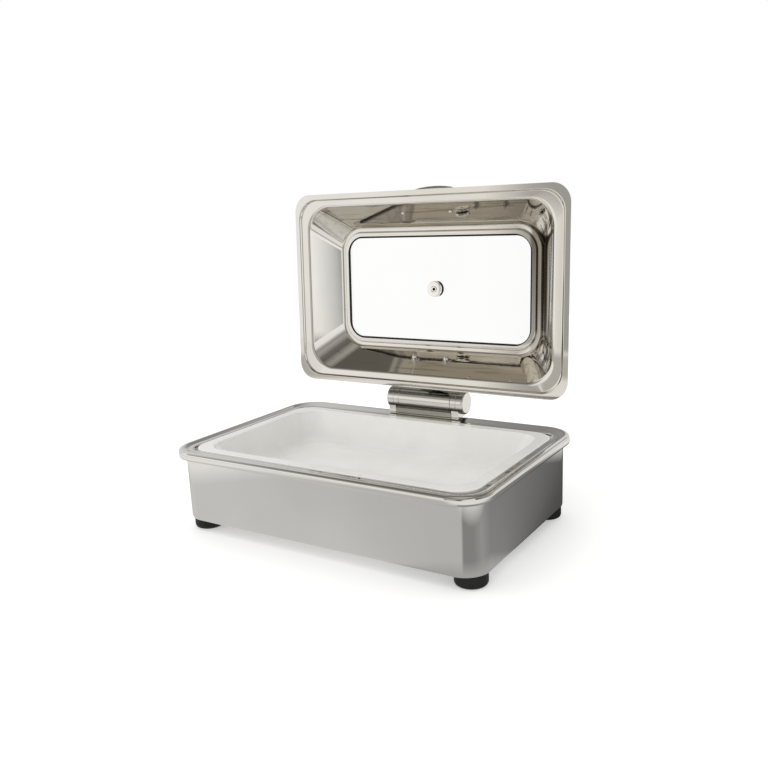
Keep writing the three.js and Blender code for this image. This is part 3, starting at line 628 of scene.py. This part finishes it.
def makeRimFrame():
    rings = []
    for out, z, corner in bentPath(rimFrame["section"], 6):
        share = partShare((out - rimFrame["fold"]) / (rimFrame["crown"] - rimFrame["fold"]))
        halfY = rimFrame["width"] / 2 + out
        rings.append((rimFrame["length"] / 2 + out, -halfY - rimFrame["frontExtra"] * share,
                      halfY + rimFrame["backExtra"] * share, corner, z))
    rim = sheetPiece("rimFrame", rings, "none", 18)
    thicken(rim, rimFrame["sheet"], (0, 0, 1))
    finishPiece(rim, onRim, polishedSteel, "polished_steel", "base", "rim_frame")


makeRimFrame()
print("rim frame made")

# food pan: the section runs up the outside, over the rim and down the inside as (inset, height, corner, bend)
foodPan = {
    "length": 530,
    "width": 325,
    "section": [
        (62, -62, 42), (37.5, -62, 42, 17), (14, -5, 40, 2.2), (0, -5, 38, 2.2), (0, 0, 38, 2.2), (19, 0, 40, 2.2),
        (40, -57, 42, 17), (62, -57, 42),
    ],
}


def makeFoodPan():
    rings = [(foodPan["length"] / 2 - inset, inset - foodPan["width"] / 2, foodPan["width"] / 2 - inset, corner, z)
             for inset, z, corner in bentPath(foodPan["section"], 7)]
    pan = sheetPiece("foodPan", rings, "both", 16)
    finishPiece(pan, onRim, porcelain, "porcelain", "food_pan", "food_pan")


makeFoodPan()
print("food pan made")

# plates under the floor
floorPlates = {"length": 400, "width": 240, "corner": 30, "spreader": 3, "magnet": 1, "inset": 2, "edge": 0.4}


def makeFloorPlate(name, inset, low, high, material, slot, node):
    rings = [(floorPlates["length"] / 2 - inset, bodyShell["setBack"] - floorPlates["width"] / 2 + inset,
              bodyShell["setBack"] + floorPlates["width"] / 2 - inset, floorPlates["corner"] - inset, z)
             for z in (low, high)]
    plate = sheetPiece(name, rings, "both", 12)
    roundEdges(plate, floorPlates["edge"])
    finishPiece(plate, onFloor, material, slot, "base", node)


makeFloorPlate("heatSpreader", 0, -floorPlates["spreader"], 0, castAluminium, "cast_aluminium", "heat_spreader")
makeFloorPlate("inductionPlate", floorPlates["inset"], -floorPlates["spreader"] - floorPlates["magnet"],
               -floorPlates["spreader"], plainSteel, "plain_steel", "induction_plate")
print("floor plates made")

# feet: modelled once, cupped round the body at each corner
foot = {
    "radius": 25,
    "edge": 6,
    "top": 23,
    "pocket": 5.1,
    "pocketTop": 9,
    "x": 252,
    "y": 144,
    "gap": 0.3,
    "steps": 6,
}
footScrew = {
    "section": [(3.7, 5.2), (4.18, 5.44), (4.5, 6), (4.5, 8.7), (2.5, 8.7), (2.5, 19.7)],
    "slot": (13.5, 1.25, 2.5),
    "slotLevel": 5.2,
}


def footRings():
    rings = [(foot["pocket"], foot["pocketTop"]), (foot["pocket"], 0)]
    for turn in quarterTurns(foot["steps"]):
        rings.append((foot["radius"] - foot["edge"] * (1 - math.sin(turn)), foot["edge"] * (1 - math.cos(turn))))
    rings.append((foot["radius"], foot["top"]))
    return rings


# what the body takes up with its clearance; it is cut out of each foot
def bodyBlock():
    block = sheetPiece("bodyBlock", bodyRings(bodyPath(foot["gap"])), "both", 16)
    putAt(block, onFloor)
    return block


def makeScrew():
    screw = turnedPiece("footScrew", footScrew["section"], "both", 32)
    bpy.ops.object.select_all(action="DESELECT")
    bpy.ops.mesh.primitive_cube_add(size=mm, location=(0, 0, footScrew["slotLevel"] * mm))
    slotCutter = bpy.context.object
    slotCutter.scale = footScrew["slot"]
    bpy.ops.object.transform_apply(location=True, rotation=True, scale=True)
    combine(screw, slotCutter, "DIFFERENCE")
    return screw


def makeFeet():
    blank = turnedPiece("foot", footRings(), "both", 64)
    blankScrew = makeScrew()
    for end, signY in (("front", -1), ("rear", 1)):
        for side, signX in leftRight:
            place = onTable @ Matrix.Translation((signX * foot["x"] * mm,
                                                  (bodyShell["setBack"] + signY * foot["y"]) * mm, 0))
            rubber = copyPiece(blank, f"foot{end.title()}{side.title()}")
            putAt(rubber, place)
            combine(rubber, bodyBlock(), "DIFFERENCE", use_self=True)  # without use_self nothing is cut away
            finishPiece(rubber, None, blackRubber, "black_rubber", "base", f"foot_{end}_{side}")
            screw = copyPiece(blankScrew, f"footScrew{end.title()}{side.title()}")
            finishPiece(screw, place, plainSteel, "plain_steel", "base", f"foot_screw_{end}_{side}")
    bpy.data.objects.remove(blank)
    bpy.data.objects.remove(blankScrew)


makeFeet()
print("feet made")

# lid: flange, ridge, sloped walls, stepped ring round the window, all one pressing
lid = {
    "length": 558,
    "width": 358.5,
    "sheet": 1,
    "flat": 9.5,
    "mouth": 23.2,
    "sideExtra": 6,
    "section": [
        (0, 0, 33), (9.5, 0, 39, 1.2), (11.5, 3, 39, 1.2), (23.2, 3.6, 47, 3.5), (64.5, 57, 45, 3.5),
        (72, 57.4, 39, 1.6), (73.5, 52.5, 37.5, 1.6), (80.5, 52.5, 34),
    ],
    "glassLow": 56.5,
    "glass": 4,
    "gasketOut": 74.9,
}


def lidRings(path):
    rings = []
    for inset, z, corner in path:
        side = lid["sideExtra"] * partShare((inset - lid["flat"]) / (lid["mouth"] - lid["flat"]))
        halfX, halfY = lid["length"] / 2 - inset - side, lid["width"] / 2 - inset
        rings.append((halfX, -halfY, halfY, corner, z))
    return rings


def makeLid():
    pressing = sheetPiece("lidFrame", lidRings(bentPath(lid["section"], 6)), "none", 18)
    thicken(pressing, lid["sheet"], (0, 0, -1))
    finishPiece(pressing, onLid, lidSteel, "polished_steel", "lid", "lid_frame")


# corner radius of what sits inside the window ring
def gasketCorner(inset):
    windowStep = lid["section"][6]
    return windowStep[2] - (inset - windowStep[0])


gasket = {"low": 53.8, "foot": 56.2, "high": 60.7, "lip": 83.8, "wall": 76.9, "edge": 0.35}


def makeGasket():
    outer, lip, wall = lid["gasketOut"], gasket["lip"], gasket["wall"]
    section = [(outer, gasket["low"]), (lip, gasket["low"]), (lip, gasket["foot"]), (wall, gasket["foot"]),
               (wall, gasket["high"]), (outer, gasket["high"])]
    seal = sheetPiece("windowGasket", lidRings([(inset, z, gasketCorner(inset)) for inset, z in section]), "loop", 14)
    roundEdges(seal, gasket["edge"])
    finishPiece(seal, onLid, blackRubber, "black_rubber", "lid", "window_gasket")


windowGlass = {"inset": 77.2, "hole": 6, "over": 2, "edge": 0.6}


def makeGlass():
    inset, low, high = windowGlass["inset"], lid["glassLow"], lid["glassLow"] + lid["glass"]
    pane = sheetPiece("windowGlass", lidRings([(inset, z, gasketCorner(inset)) for z in (low, high)]), "both", 14)
    over = windowGlass["over"]
    hole = turnedPiece("hole", [(windowGlass["hole"], low - over), (windowGlass["hole"], high + over)], "both", 48)
    combine(pane, hole, "DIFFERENCE")
    roundEdges(pane, windowGlass["edge"], 3)
    finishPiece(pane, onLid, clearGlass, "clear_glass", "lid", "window_glass")


makeLid()
makeGasket()
makeGlass()
print("lid made")

# steam vent through the middle of the glass: each section is a list of (radius, height)
vent = {
    "disc": [(5.3, 50.4), (6.3, 49.4), (13.25, 49.4), (13.95, 49.7), (14.25, 50.4), (14.25, 54.9), (5.3, 54.9)],
    "stem": [(2.75, 66.6), (2.75, 49.9), (3.15, 49.6), (4.7, 49.6), (5, 49.9), (5, 62.1), (15, 62.1)],
    "sleeve": [(2.2, 50.5), (2.65, 50.5), (2.65, 66.3), (2.2, 66.3)],
    "cap": 15,
    "capLow": 63.1,
    "capDome": 8,
    "steps": 10,
    "washer": [(5.3, 0), (12, 0), (12, 1), (5.3, 1)],
    "washerEdge": 0.2,
    "washerLevel": {"outer": 60.8, "inner": 55.2},
}


def makeVent():
    disc = turnedPiece("ventDisc", vent["disc"], "loop")
    dome = [(vent["cap"] * math.cos(turn), vent["capLow"] + vent["capDome"] * math.sin(turn))
            for turn in quarterTurns(vent["steps"])[:-1]]
    cap = turnedPiece("ventCap", vent["stem"] + dome, "both")
    sleeve = turnedPiece("ventSleeve", vent["sleeve"], "loop", 48)
    finishPiece(disc, onLid, brightSteel, "polished_steel", "lid", "vent_disc")
    finishPiece(cap, onLid, brightSteel, "polished_steel", "lid", "vent_cap")
    finishPiece(sleeve, onLid, blackRubber, "black_rubber", "lid")
    for side, level in vent["washerLevel"].items():
        rings = [(radius, level + z) for radius, z in vent["washer"]]
        washer = turnedPiece(f"ventWasher{side.title()}", rings, "loop", 48)
        roundEdges(washer, vent["washerEdge"])
        finishPiece(washer, onLid, blackRubber, "black_rubber", "lid", f"vent_washer_{side}")


makeVent()
print("vent made")

# front and rear walls of the lid: a place on the wall's inside, Z outwards
wallLow, wallHigh = lid["section"][3:5]
wallRun, wallRise = wallHigh[0] - wallLow[0], wallHigh[1] - wallLow[1]
wallTilt = math.atan2(wallRise, wallRun)


def wallInset(rise):
    return wallLow[0] + (rise - wallLow[1]) * wallRun / wallRise


def onWall(end, x, rise):
    middle = Matrix.Translation((x * mm, end * (lid["width"] / 2 - wallInset(rise)) * mm, rise * mm))
    return onLid @ middle @ Matrix.Rotation(-end * wallTilt, 4, "X")


# grab handle: two legs square to the wall and a bowed grip
handle = {
    "out": 49,
    "rise": 25,
    "radius": 6.3,
    "reach": 8.15,
    "crown": 8,
    "corner": 14,
    "seat": 1.3,
    "collar": [(9.2, 1.3), (9.5, 1.6), (9.5, 2.55), (8.6, 3.3), (7.1, 3.65), (5.8, 4.4)],
    "sides": 32,
    "steps": 14,
    "screwHead": 3.8,
    "screwDome": 2.4,
    "screwSteps": 8,
    "screwShank": 2,
    "screwSeat": -0.3,
    "screwEnd": 14.7,
}


# how far the top of the bow stands from the wall
def gripFar():
    return (handle["reach"] - handle["radius"] + wallInset(handle["rise"])) / math.sin(wallTilt)


def gripPath():
    far = gripFar()
    out, crown, corner = handle["out"], handle["crown"], handle["corner"]
    top = far - crown
    path = [Vector((out, 0, handle["seat"])), Vector((out, 0, top - corner))]
    for step in range(1, handle["steps"]):
        turn = step / handle["steps"] * math.pi / 2
        path.append(Vector((out - corner * (1 - math.cos(turn)), 0, top - corner + corner * math.sin(turn)
                            + crown * (1 - ((out - corner) / out) ** 2) * (step / handle["steps"]) ** 3)))
    for step in range(handle["steps"] + 1):
        x = (out - corner) * (1 - step / handle["steps"])
        path.append(Vector((x, 0, far - crown * (x / out) ** 2)))
    return path + [Vector((-point.x, 0, point.z)) for point in reversed(path[:-1])]


def makeHandle():
    path = gripPath()
    grip = openPiece("grabHandle")
    for number, point in enumerate(path, 1):
        before, after = path[max(number - 2, 0)], path[min(number, len(path) - 1)]
        way = after - before
        bpy.ops.mesh.primitive_circle_add(vertices=handle["sides"], radius=handle["radius"] * mm, location=point * mm,
                                          rotation=(0, math.atan2(way.x, way.z), 0))
        tagRing(grip, number)
    for number in range(1, len(path)):
        selectRings(grip, (number, number + 1))
        bpy.ops.mesh.bridge_edge_loops()
    closeEnds(grip, len(path), "both")
    parts = [grip]
    for side in (-1, 1):
        collar = turnedPiece("collar", handle["collar"], "both", 48)
        putAt(collar, Matrix.Translation((side * handle["out"] * mm, 0, 0)))
        parts.append(collar)
    grip = joinPieces(parts)
    finishPiece(grip, onWall(-1, 0, handle["rise"]), polishedSteel, "polished_steel", "lid", "handle", degrees=40)
    for name, side in leftRight:
        seat = handle["screwSeat"]
        rings = domeRings(handle["screwHead"], seat, handle["screwDome"], handle["screwSteps"])
        rings += [(handle["screwShank"], seat), (handle["screwShank"], handle["screwEnd"])]
        screw = turnedPiece(f"handleScrew{name.title()}", rings, "both", 40)
        place = onWall(-1, side * handle["out"], handle["rise"])
        finishPiece(screw, place, polishedSteel, "polished_steel", "lid", f"handle_screw_{name}")


makeHandle()
print("handle made")

# nuts and washers of the arm's bolts, inside the rear wall
armNut = {
    "out": 33.5,
    "rise": 37,
    "seat": -1.8,
    "hex": 5.6,
    "hexHigh": 4,
    "edge": 0.35,
    "dome": 4.76,
    "domeHeight": 4.2,
    "domeLift": 0.02,
    "domeSink": 1,
    "steps": 10,
    "washer": 9,
    "washerLow": -1.5,
    "washerHigh": -0.3,
    "washerEdge": 0.25,
    "bore": 3.2,
}


def makeNuts():
    for name, side in leftRight:
        place = onWall(1, side * armNut["out"], armNut["rise"])
        low = armNut["seat"] - armNut["hexHigh"]
        sides = [(armNut["hex"], low), (armNut["hex"], armNut["seat"])]
        prism = turnedPiece(f"acornNut{name.title()}", sides, "both", 6)
        roundEdges(prism, armNut["edge"], 3, 25)
        rings = domeRings(armNut["dome"], low + armNut["domeLift"], armNut["domeHeight"], armNut["steps"])
        rings.append((armNut["dome"], low + armNut["domeSink"]))
        dome = turnedPiece("dome", rings, "both", 48)
        nut = joinPieces([prism, dome])
        finishPiece(nut, place, polishedSteel, "polished_steel", "lid", f"acorn_nut_{name}", degrees=28)
        washer = turnedPiece(f"armWasher{name.title()}", [
            (armNut["bore"], armNut["washerLow"]), (armNut["washer"], armNut["washerLow"]),
            (armNut["washer"], armNut["washerHigh"]), (armNut["bore"], armNut["washerHigh"]),
        ], "loop", 48)
        roundEdges(washer, armNut["washerEdge"])
        finishPiece(washer, place, polishedSteel, "polished_steel", "lid", f"arm_washer_{name}")


makeNuts()
print("nuts made")

# hinge, laid out along X from the middle: barrel, eye, end cap
hinge = {
    "radius": 20.5,
    "barrelHalf": 54.4,
    "barrelBore": 16.5,
    "edge": 0.8,
    "clearance": 0.3,
    "eyeIn": 54.7,
    "eyeOut": 65.7,
    "eyeEdge": 0.4,
    "capStart": 66.0,
    "capWidth": 14,
    "capBend": 3,
    "capEdge": 0.4,
    "bore": 6.3,
    "boreDepth": 9.3,
    "steps": 7,
}
alongRight = Matrix.Rotation(math.pi / 2, 4, "Y")
alongLeft = Matrix.Rotation(-math.pi / 2, 4, "Y")


def makeBarrel():
    radius, edge, half = hinge["radius"], hinge["edge"], hinge["barrelHalf"]
    low = [(hinge["barrelBore"], -half), (radius - edge, -half), (radius - edge * 0.3, -half + edge * 0.3),
           (radius, -half + edge)]
    barrel = turnedPiece("hingeBarrel", low + [(ring, -z) for ring, z in reversed(low)], "loop", 96)
    finishPiece(barrel, onBarrel @ alongRight, hingeSteel, "polished_steel", "lid", "hinge_barrel")


def makeCaps():
    radius, bend, depth, edge = hinge["radius"], hinge["capBend"], hinge["capWidth"], hinge["capEdge"]
    rings = [(hinge["bore"], hinge["boreDepth"]), (hinge["bore"], 0), (radius - edge, 0), (radius, edge)]
    for turn in quarterTurns(hinge["steps"]):
        rings.append((radius - bend * (1 - math.cos(turn)), depth - bend * (1 - math.sin(turn))))
    for name, side, along in (("left", -1, alongLeft), ("right", 1, alongRight)):
        cap = turnedPiece(f"hingeCap{name.title()}", rings, "both", 96)
        place = onHinge @ Matrix.Translation((side * hinge["capStart"] * mm, 0, 0)) @ along
        finishPiece(cap, place, hingeSteel, "polished_steel", "base", f"hinge_cap_{name}")


# a plate with its outline in the Y-Z plane: a ring of as many corners, each moved to its place, then extruded.
# New corners can take the numbers of deleted ones, so they are taken in their order round the face
def platePiece(name, outline, start, width):
    piece = openPiece(name)
    bpy.ops.mesh.primitive_circle_add(vertices=len(outline), radius=mm, fill_type="NGON")
    cage = bmesh.from_edit_mesh(piece.data)
    cage.verts.index_update()
    order = [corner.index for face in cage.faces for corner in face.verts]
    for number, (y, z) in zip(order, outline):
        bpy.ops.mesh.select_all(action="DESELECT")
        cage = bmesh.from_edit_mesh(piece.data)
        cage.verts.ensure_lookup_table()
        corner = cage.verts[number]
        corner.select_set(True)
        move = Vector((start, y, z)) * mm - corner.co
        bmesh.update_edit_mesh(piece.data)
        bpy.ops.mesh.select_mode(type="VERT")
        bpy.ops.transform.translate(value=move)
    bpy.ops.mesh.select_all(action="SELECT")
    bpy.ops.mesh.extrude_region_move(TRANSFORM_OT_translate={"value": (width * mm, 0, 0)})
    bpy.ops.mesh.select_all(action="SELECT")
    bpy.ops.mesh.normals_make_consistent(inside=False)
    bpy.ops.object.mode_set(mode="OBJECT")
    return piece


# bracket: a saddle across the back of the frame and a post with an eye at each end
bracket = {
    "saddleFloor": -24.9,
    "saddleFront": -20,
    "saddleLift": 0.05,
    "saddleShort": 0.1,
    "saddleThickness": 3.6,
    "postFoot": 4,
    "postFront": -22,
    "postBack": 10,
    "toe": 1.4,
    "shoulder": -14.5,
    "elbow": -11.47,
    "postWidth": 14,
    "postMiddle": 66.0,
    "halfWidth": 72.7,
    "capRoom": 18,
    "boreHalf": 90,
}


def makeBracket():
    floor, postFoot, front = bracket["saddleFloor"], bracket["postFoot"], bracket["saddleFront"]
    low, high = floor + bracket["saddleLift"], floor + bracket["saddleThickness"]
    back = postFoot - bracket["saddleShort"]
    saddle = platePiece("hingeBracket", [(front, low), (back, low), (back, high), (front, high)],
                        -bracket["halfWidth"], 2 * bracket["halfWidth"])
    outline = [
        (bracket["postFront"], floor - bracket["toe"]), (front + postFoot, floor), (postFoot, floor),
        (bracket["postBack"], bracket["shoulder"]), (bracket["postBack"], 0), (-bracket["postBack"], 0),
        (bracket["postFront"], bracket["elbow"]),
    ]
    radius, edge, eyeIn, eyeOut = hinge["radius"], hinge["eyeEdge"], hinge["eyeIn"], hinge["eyeOut"]
    for side, along in ((-1, alongLeft), (1, alongRight)):
        start = side * bracket["postMiddle"] - bracket["postWidth"] / 2
        post = platePiece("post", outline, start, bracket["postWidth"])
        for near, far in ((0, eyeIn - hinge["clearance"]), (eyeOut, eyeOut + bracket["capRoom"])):
            room = turnedPiece("room", [(radius + hinge["clearance"], near), (radius + hinge["clearance"], far)],
                               "both", 96)
            putAt(room, along)
            combine(post, room, "DIFFERENCE")
        eye = turnedPiece("eye", [
            (radius - edge, eyeIn), (radius, eyeIn + edge), (radius, eyeOut - edge), (radius - edge, eyeOut),
        ], "both", 96)
        putAt(eye, along)
        combine(post, eye, "UNION")
        combine(saddle, post, "UNION")
    half = bracket["boreHalf"]
    bore = turnedPiece("bore", [(hinge["bore"], -half), (hinge["bore"], half)], "both", 48)
    putAt(bore, alongRight)
    combine(saddle, bore, "DIFFERENCE")
    finishPiece(saddle, onHinge, hingeSteel, "polished_steel", "base", "hinge_bracket")


# plate in front of the bracket, bent back along its top
cover = {
    "front": -23.2,
    "inner": -21.7,
    "back": -16.7,
    "low": -27.1,
    "high": -13.7,
    "sheet": 1.5,
    "half": 58.7,
    "edge": 0.6,
}


def makeCover():
    front, inner, high, sheet = cover["front"], cover["inner"], cover["high"], cover["sheet"]
    plate = platePiece("bracketCover", [
        (front, cover["low"]), (inner, cover["low"]), (inner, high - sheet), (cover["back"] - sheet, high),
        (cover["back"], high + sheet), (inner, high), (front, high - sheet),
    ], -cover["half"], 2 * cover["half"])
    roundEdges(plate, cover["edge"], 3, 20)
    # the cover takes the darker steel: painted shade for the dark pan and rim it mirrors
    finishPiece(plate, onHinge, paintedShadeSteel, "polished_steel", "base", "bracket_cover")


makeBarrel()
makeCaps()
makeBracket()
makeCover()
print("hinge made")


# the arm behind the lid starts from its CAD solid, merged, with its edges rounded
hingeArm = {"merge": 0.00001, "flatDegrees": 1, "edge": 0.5, "edgeDegrees": 30}


def makeArm():
    arm = copyPiece(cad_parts["hinge_arm"], "hingeArm")
    arm.parent = None
    onlySelect(arm)
    bpy.ops.object.mode_set(mode="EDIT")
    bpy.ops.mesh.select_all(action="SELECT")
    bpy.ops.mesh.remove_doubles(threshold=hingeArm["merge"])
    bpy.ops.mesh.dissolve_limited(angle_limit=math.radians(hingeArm["flatDegrees"]))
    bpy.ops.object.mode_set(mode="OBJECT")
    roundEdges(arm, hingeArm["edge"], 2, hingeArm["edgeDegrees"])
    finishPiece(arm, None, polishedSteel, "polished_steel", "lid", "hinge_arm")


makeArm()
print("arm made")

# finishes of the CAD solids that stay
keptNodes = {
    "hinge_shaft": plainSteel,
    "bracket_screw_left": plainSteel,
    "bracket_screw_right": plainSteel,
    "arm_bolt_left": plainSteel,
    "arm_bolt_right": plainSteel,
    "damper_cartridge": castAluminium,
    "hinge_bush_left": nylon,
    "hinge_bush_right": nylon,
}


def finishKeptNodes():
    for end in ("front", "rear"):
        for side in ("left", "right"):
            keptNodes[f"foot_boss_{end}_{side}"] = plainSteel
    for name, material in keptNodes.items():
        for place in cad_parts[name].material_slots:
            place.material = material


finishKeptNodes()
print("kept solids finished")

# studio: white floor and background, soft lamps; what the steel mirrors of the room comes after it
studio = {
    "floor": 5,
    "floorColour": (0.82, 0.82, 0.81),
    "floorGlow": 0.34,
    "sky": (0.93, 0.93, 0.9207),
    "lampAim": (0, 0, 0.1),
    "lamps": [
        ("lampOver", (-0.5, -0.4, 1.9), 1.6, 5),
        ("lampLeft", (-1.9, -1.0, 1.2), 1.4, 4),
    ],
}

# each stop is (degrees or metres, strength, warmth); degrees run from the front to the right.
# The floor's stops turn about the body's near corner and pass into rings further out
mirroredRoom = {
    "round": [
        (-180, 0.8, 0.03), (-164, 0.7, 0.03), (-158, 0.24, 0.04), (-150, 0.3, 0.05), (-140, 0.6, 0.04),
        (-125, 0.7, 0.02), (-90, 0.74, 0.02), (-76, 0.9, 0.01), (-40, 0.94, 0), (-33, 0.93, 0.08), (-25, 0.88, 0.12),
        (-22, 0.4, 0.08), (-17, 0.38, 0.1), (-12, 0.6, 0.08), (8, 0.5, 0.1), (18, 0.18, 0.1), (26, 0.18, 0.1),
        (36, 0.8, 0.06), (68.8, 1, 0.04), (69.1, 0.05, 0.03), (78, 0.12, 0.03), (95, 0.3, 0.05), (122, 0.36, 0.05),
        (146, 0.82, 0.03), (180, 0.8, 0.03),
    ],
    "rise": (15, 27),
    "leftRise": (-60, -75, 26),
    "ceiling": [
        (18, 0.2, 0.12), (34, 0.42, 0.1), (42, 0.32, 0.1), (50, 0.17, 0.12), (60, 0.15, 0.12), (68, 0.3, 0.1),
        (78, 0.55, 0.05), (90, 0.8, 0.03),
    ],
    "corner": (0.2415, -0.167),
    "floorRound": [
        (-180, 0.1, 0.05), (-155, 0.19, 0.18), (-128, 0.22, 0.18), (-102, 0.5, 0.06), (-85, 0.66, 0.02),
        (-66, 0.62, 0.02), (-45, 0.54, 0.015), (-28, 0.52, 0.01), (12, 0.52, 0.01), (20, 0.26, 0.01),
        (58, 0.26, 0.01), (92, 0.34, 0.01), (115, 0.3, 0.01), (138, 0.26, 0.01), (150, 0.245, 0.01),
        (159, 0.19, 0.01), (164, 0.14, 0.01), (167, 0.1, 0.01), (172, 0.07, 0.01), (180, 0.1, 0.05),
    ],
    "nearCorner": (0.09, 0.135),
    "nearStrength": 0.42,
    "farFloor": (0.56, 0.68),
    "farRings": [
        (0.56, 0.84, 0.02), (0.8, 0.88, 0.06), (1.5, 0.86, 0.1), (1.65, 0.5, 0.14), (2.3, 0.5, 0.14),
        (2.5, 0.86, 0.08),
    ],
    "farReach": 2.6,
    "greenDrop": 0.4,
}


# a colour for each place on a scale from low to high
def addStops(nodes, links, value, stops, low, high):
    share = addRange(nodes, links, value, 0, 1, low, high)
    drop = mirroredRoom["greenDrop"]
    ramp = nodes.new("ShaderNodeValToRGB")
    points = ramp.color_ramp.elements
    while len(points) < len(stops):
        points.new(0.5)
    for point, (place, strength, warmth) in zip(points, stops):
        point.position = (place - low) / (high - low)
        point.color = (strength, strength * (1 - drop * warmth), strength * (1 - warmth), 1)
    links.new(share, ramp.inputs["Fac"])
    return ramp.outputs["Color"]


# degrees round Z from the front to the right
def addTurn(nodes, links, across, deep):
    turn = addMath(nodes, links, "ARCTAN2", across, addMath(nodes, links, "MULTIPLY", deep, -1))
    return addMath(nodes, links, "DEGREES", turn)


def addReach(nodes, links, across, deep):
    square = addMath(nodes, links, "ADD", addMath(nodes, links, "MULTIPLY", across, across),
                     addMath(nodes, links, "MULTIPLY", deep, deep))
    return addMath(nodes, links, "SQRT", square)


# a ray that has left the steel sees the room; the camera, also through the glass, sees white
def mixByRay(nodes, links, light, white, room):
    path = nodes.new("ShaderNodeLightPath")
    seen = addMath(nodes, links, "MAXIMUM", path.outputs["Is Camera Ray"], path.outputs["Is Transmission Ray"])
    bounced = addMath(nodes, links, "GREATER_THAN", path.outputs["Glossy Depth"], 0.5)
    mirrored = addMath(nodes, links, "MULTIPLY", path.outputs["Is Glossy Ray"], bounced)
    mixes = []
    for share, first, second in ((seen, light, white), (mirrored, None, room)):
        mix = nodes.new("ShaderNodeMixShader")
        links.new(share, mix.inputs["Fac"])
        links.new(first if first is not None else mixes[0].outputs[0], mix.inputs[1])
        links.new(second, mix.inputs[2])
        mixes.append(mix)
    return mixes[1].outputs[0]


def floorRoom(nodes, links):
    place = nodes.new("ShaderNodeTexCoord")
    parts = nodes.new("ShaderNodeSeparateXYZ")
    links.new(place.outputs["Object"], parts.inputs[0])
    across = addMath(nodes, links, "SUBTRACT", parts.outputs[0], mirroredRoom["corner"][0])
    deep = addMath(nodes, links, "SUBTRACT", parts.outputs[1], mirroredRoom["corner"][1])
    colour = addStops(nodes, links, addTurn(nodes, links, across, deep), mirroredRoom["floorRound"], -180, 180)
    near = addRange(nodes, links, addReach(nodes, links, across, deep), 1, 0, *mirroredRoom["nearCorner"])
    strength = mirroredRoom["nearStrength"]
    colour = mixColours(nodes, links, near, colour, (strength, strength, strength, 1))
    reach = addReach(nodes, links, parts.outputs[0], parts.outputs[1])
    rings = addStops(nodes, links, reach, mirroredRoom["farRings"], 0, mirroredRoom["farReach"])
    return mixColours(nodes, links, addRange(nodes, links, reach, 0, 1, *mirroredRoom["farFloor"]), colour, rings)


def makeFloor():
    bpy.ops.object.select_all(action="DESELECT")
    bpy.ops.mesh.primitive_plane_add(size=studio["floor"])
    floor = bpy.context.object
    floor.name = "floor"
    material = bpy.data.materials.new("paperFloor")
    material.use_nodes = True
    nodes, links = material.node_tree.nodes, material.node_tree.links
    nodes.clear()
    out = nodes.new("ShaderNodeOutputMaterial")
    paper = nodes.new("ShaderNodeBsdfDiffuse")
    paper.inputs["Color"].default_value = (*studio["floorColour"], 1)
    glow = nodes.new("ShaderNodeEmission")
    glow.inputs["Strength"].default_value = studio["floorGlow"]
    both = nodes.new("ShaderNodeAddShader")
    links.new(paper.outputs[0], both.inputs[0])
    links.new(glow.outputs[0], both.inputs[1])
    # through the glass the floor is as white as the background above it
    through, white, shown = (nodes.new(f"ShaderNode{kind}") for kind in ("LightPath", "Emission", "MixShader"))
    links.new(through.outputs["Is Transmission Ray"], shown.inputs["Fac"])
    links.new(both.outputs[0], shown.inputs[1])
    links.new(white.outputs[0], shown.inputs[2])
    room = nodes.new("ShaderNodeEmission")
    links.new(floorRoom(nodes, links), room.inputs["Color"])
    links.new(mixByRay(nodes, links, paper.outputs[0], shown.outputs[0], room.outputs[0]), out.inputs["Surface"])
    floor.data.materials.append(material)


def worldRoom(nodes, links):
    place = nodes.new("ShaderNodeTexCoord")
    parts = nodes.new("ShaderNodeSeparateXYZ")
    links.new(place.outputs["Generated"], parts.inputs[0])
    turn = addTurn(nodes, links, parts.outputs[0], parts.outputs[1])
    rise = addMath(nodes, links, "DEGREES", addMath(nodes, links, "ARCSINE", parts.outputs[2]))
    walls = addStops(nodes, links, turn, mirroredRoom["round"], -180, 180)
    ceiling = addStops(nodes, links, rise, mirroredRoom["ceiling"], 0, 90)
    first, last, higher = mirroredRoom["leftRise"]
    above = addMath(nodes, links, "SUBTRACT", rise, addRange(nodes, links, turn, higher, 0, last, first))
    return mixColours(nodes, links, addRange(nodes, links, above, 0, 1, *mirroredRoom["rise"]), walls, ceiling)


def makeWorld():
    world = bpy.data.worlds.new("studio")
    bpy.context.scene.world = world
    world.use_nodes = True
    nodes, links = world.node_tree.nodes, world.node_tree.links
    nodes.clear()
    out = nodes.new("ShaderNodeOutputWorld")
    light, white, room = (nodes.new("ShaderNodeBackground") for part in range(3))
    white.inputs["Color"].default_value = (1, 1, 1, 1)
    light.inputs["Color"].default_value = (*studio["sky"], 1)
    links.new(worldRoom(nodes, links), room.inputs["Color"])
    links.new(mixByRay(nodes, links, light.outputs[0], white.outputs[0], room.outputs[0]), out.inputs["Surface"])


def makeLamps():
    for name, place, size, power in studio["lamps"]:
        bpy.ops.object.light_add(type="AREA", location=place)
        lamp = bpy.context.object
        lamp.name = name
        lamp.data.size = size
        lamp.data.energy = power
        lamp.visible_glossy = False
        lamp.rotation_euler = (Vector(studio["lampAim"]) - Vector(place)).to_track_quat("-Z", "Y").to_euler()


makeFloor()
makeWorld()
makeLamps()
bpy.context.scene.view_settings.view_transform = "Standard"
print("studio made")
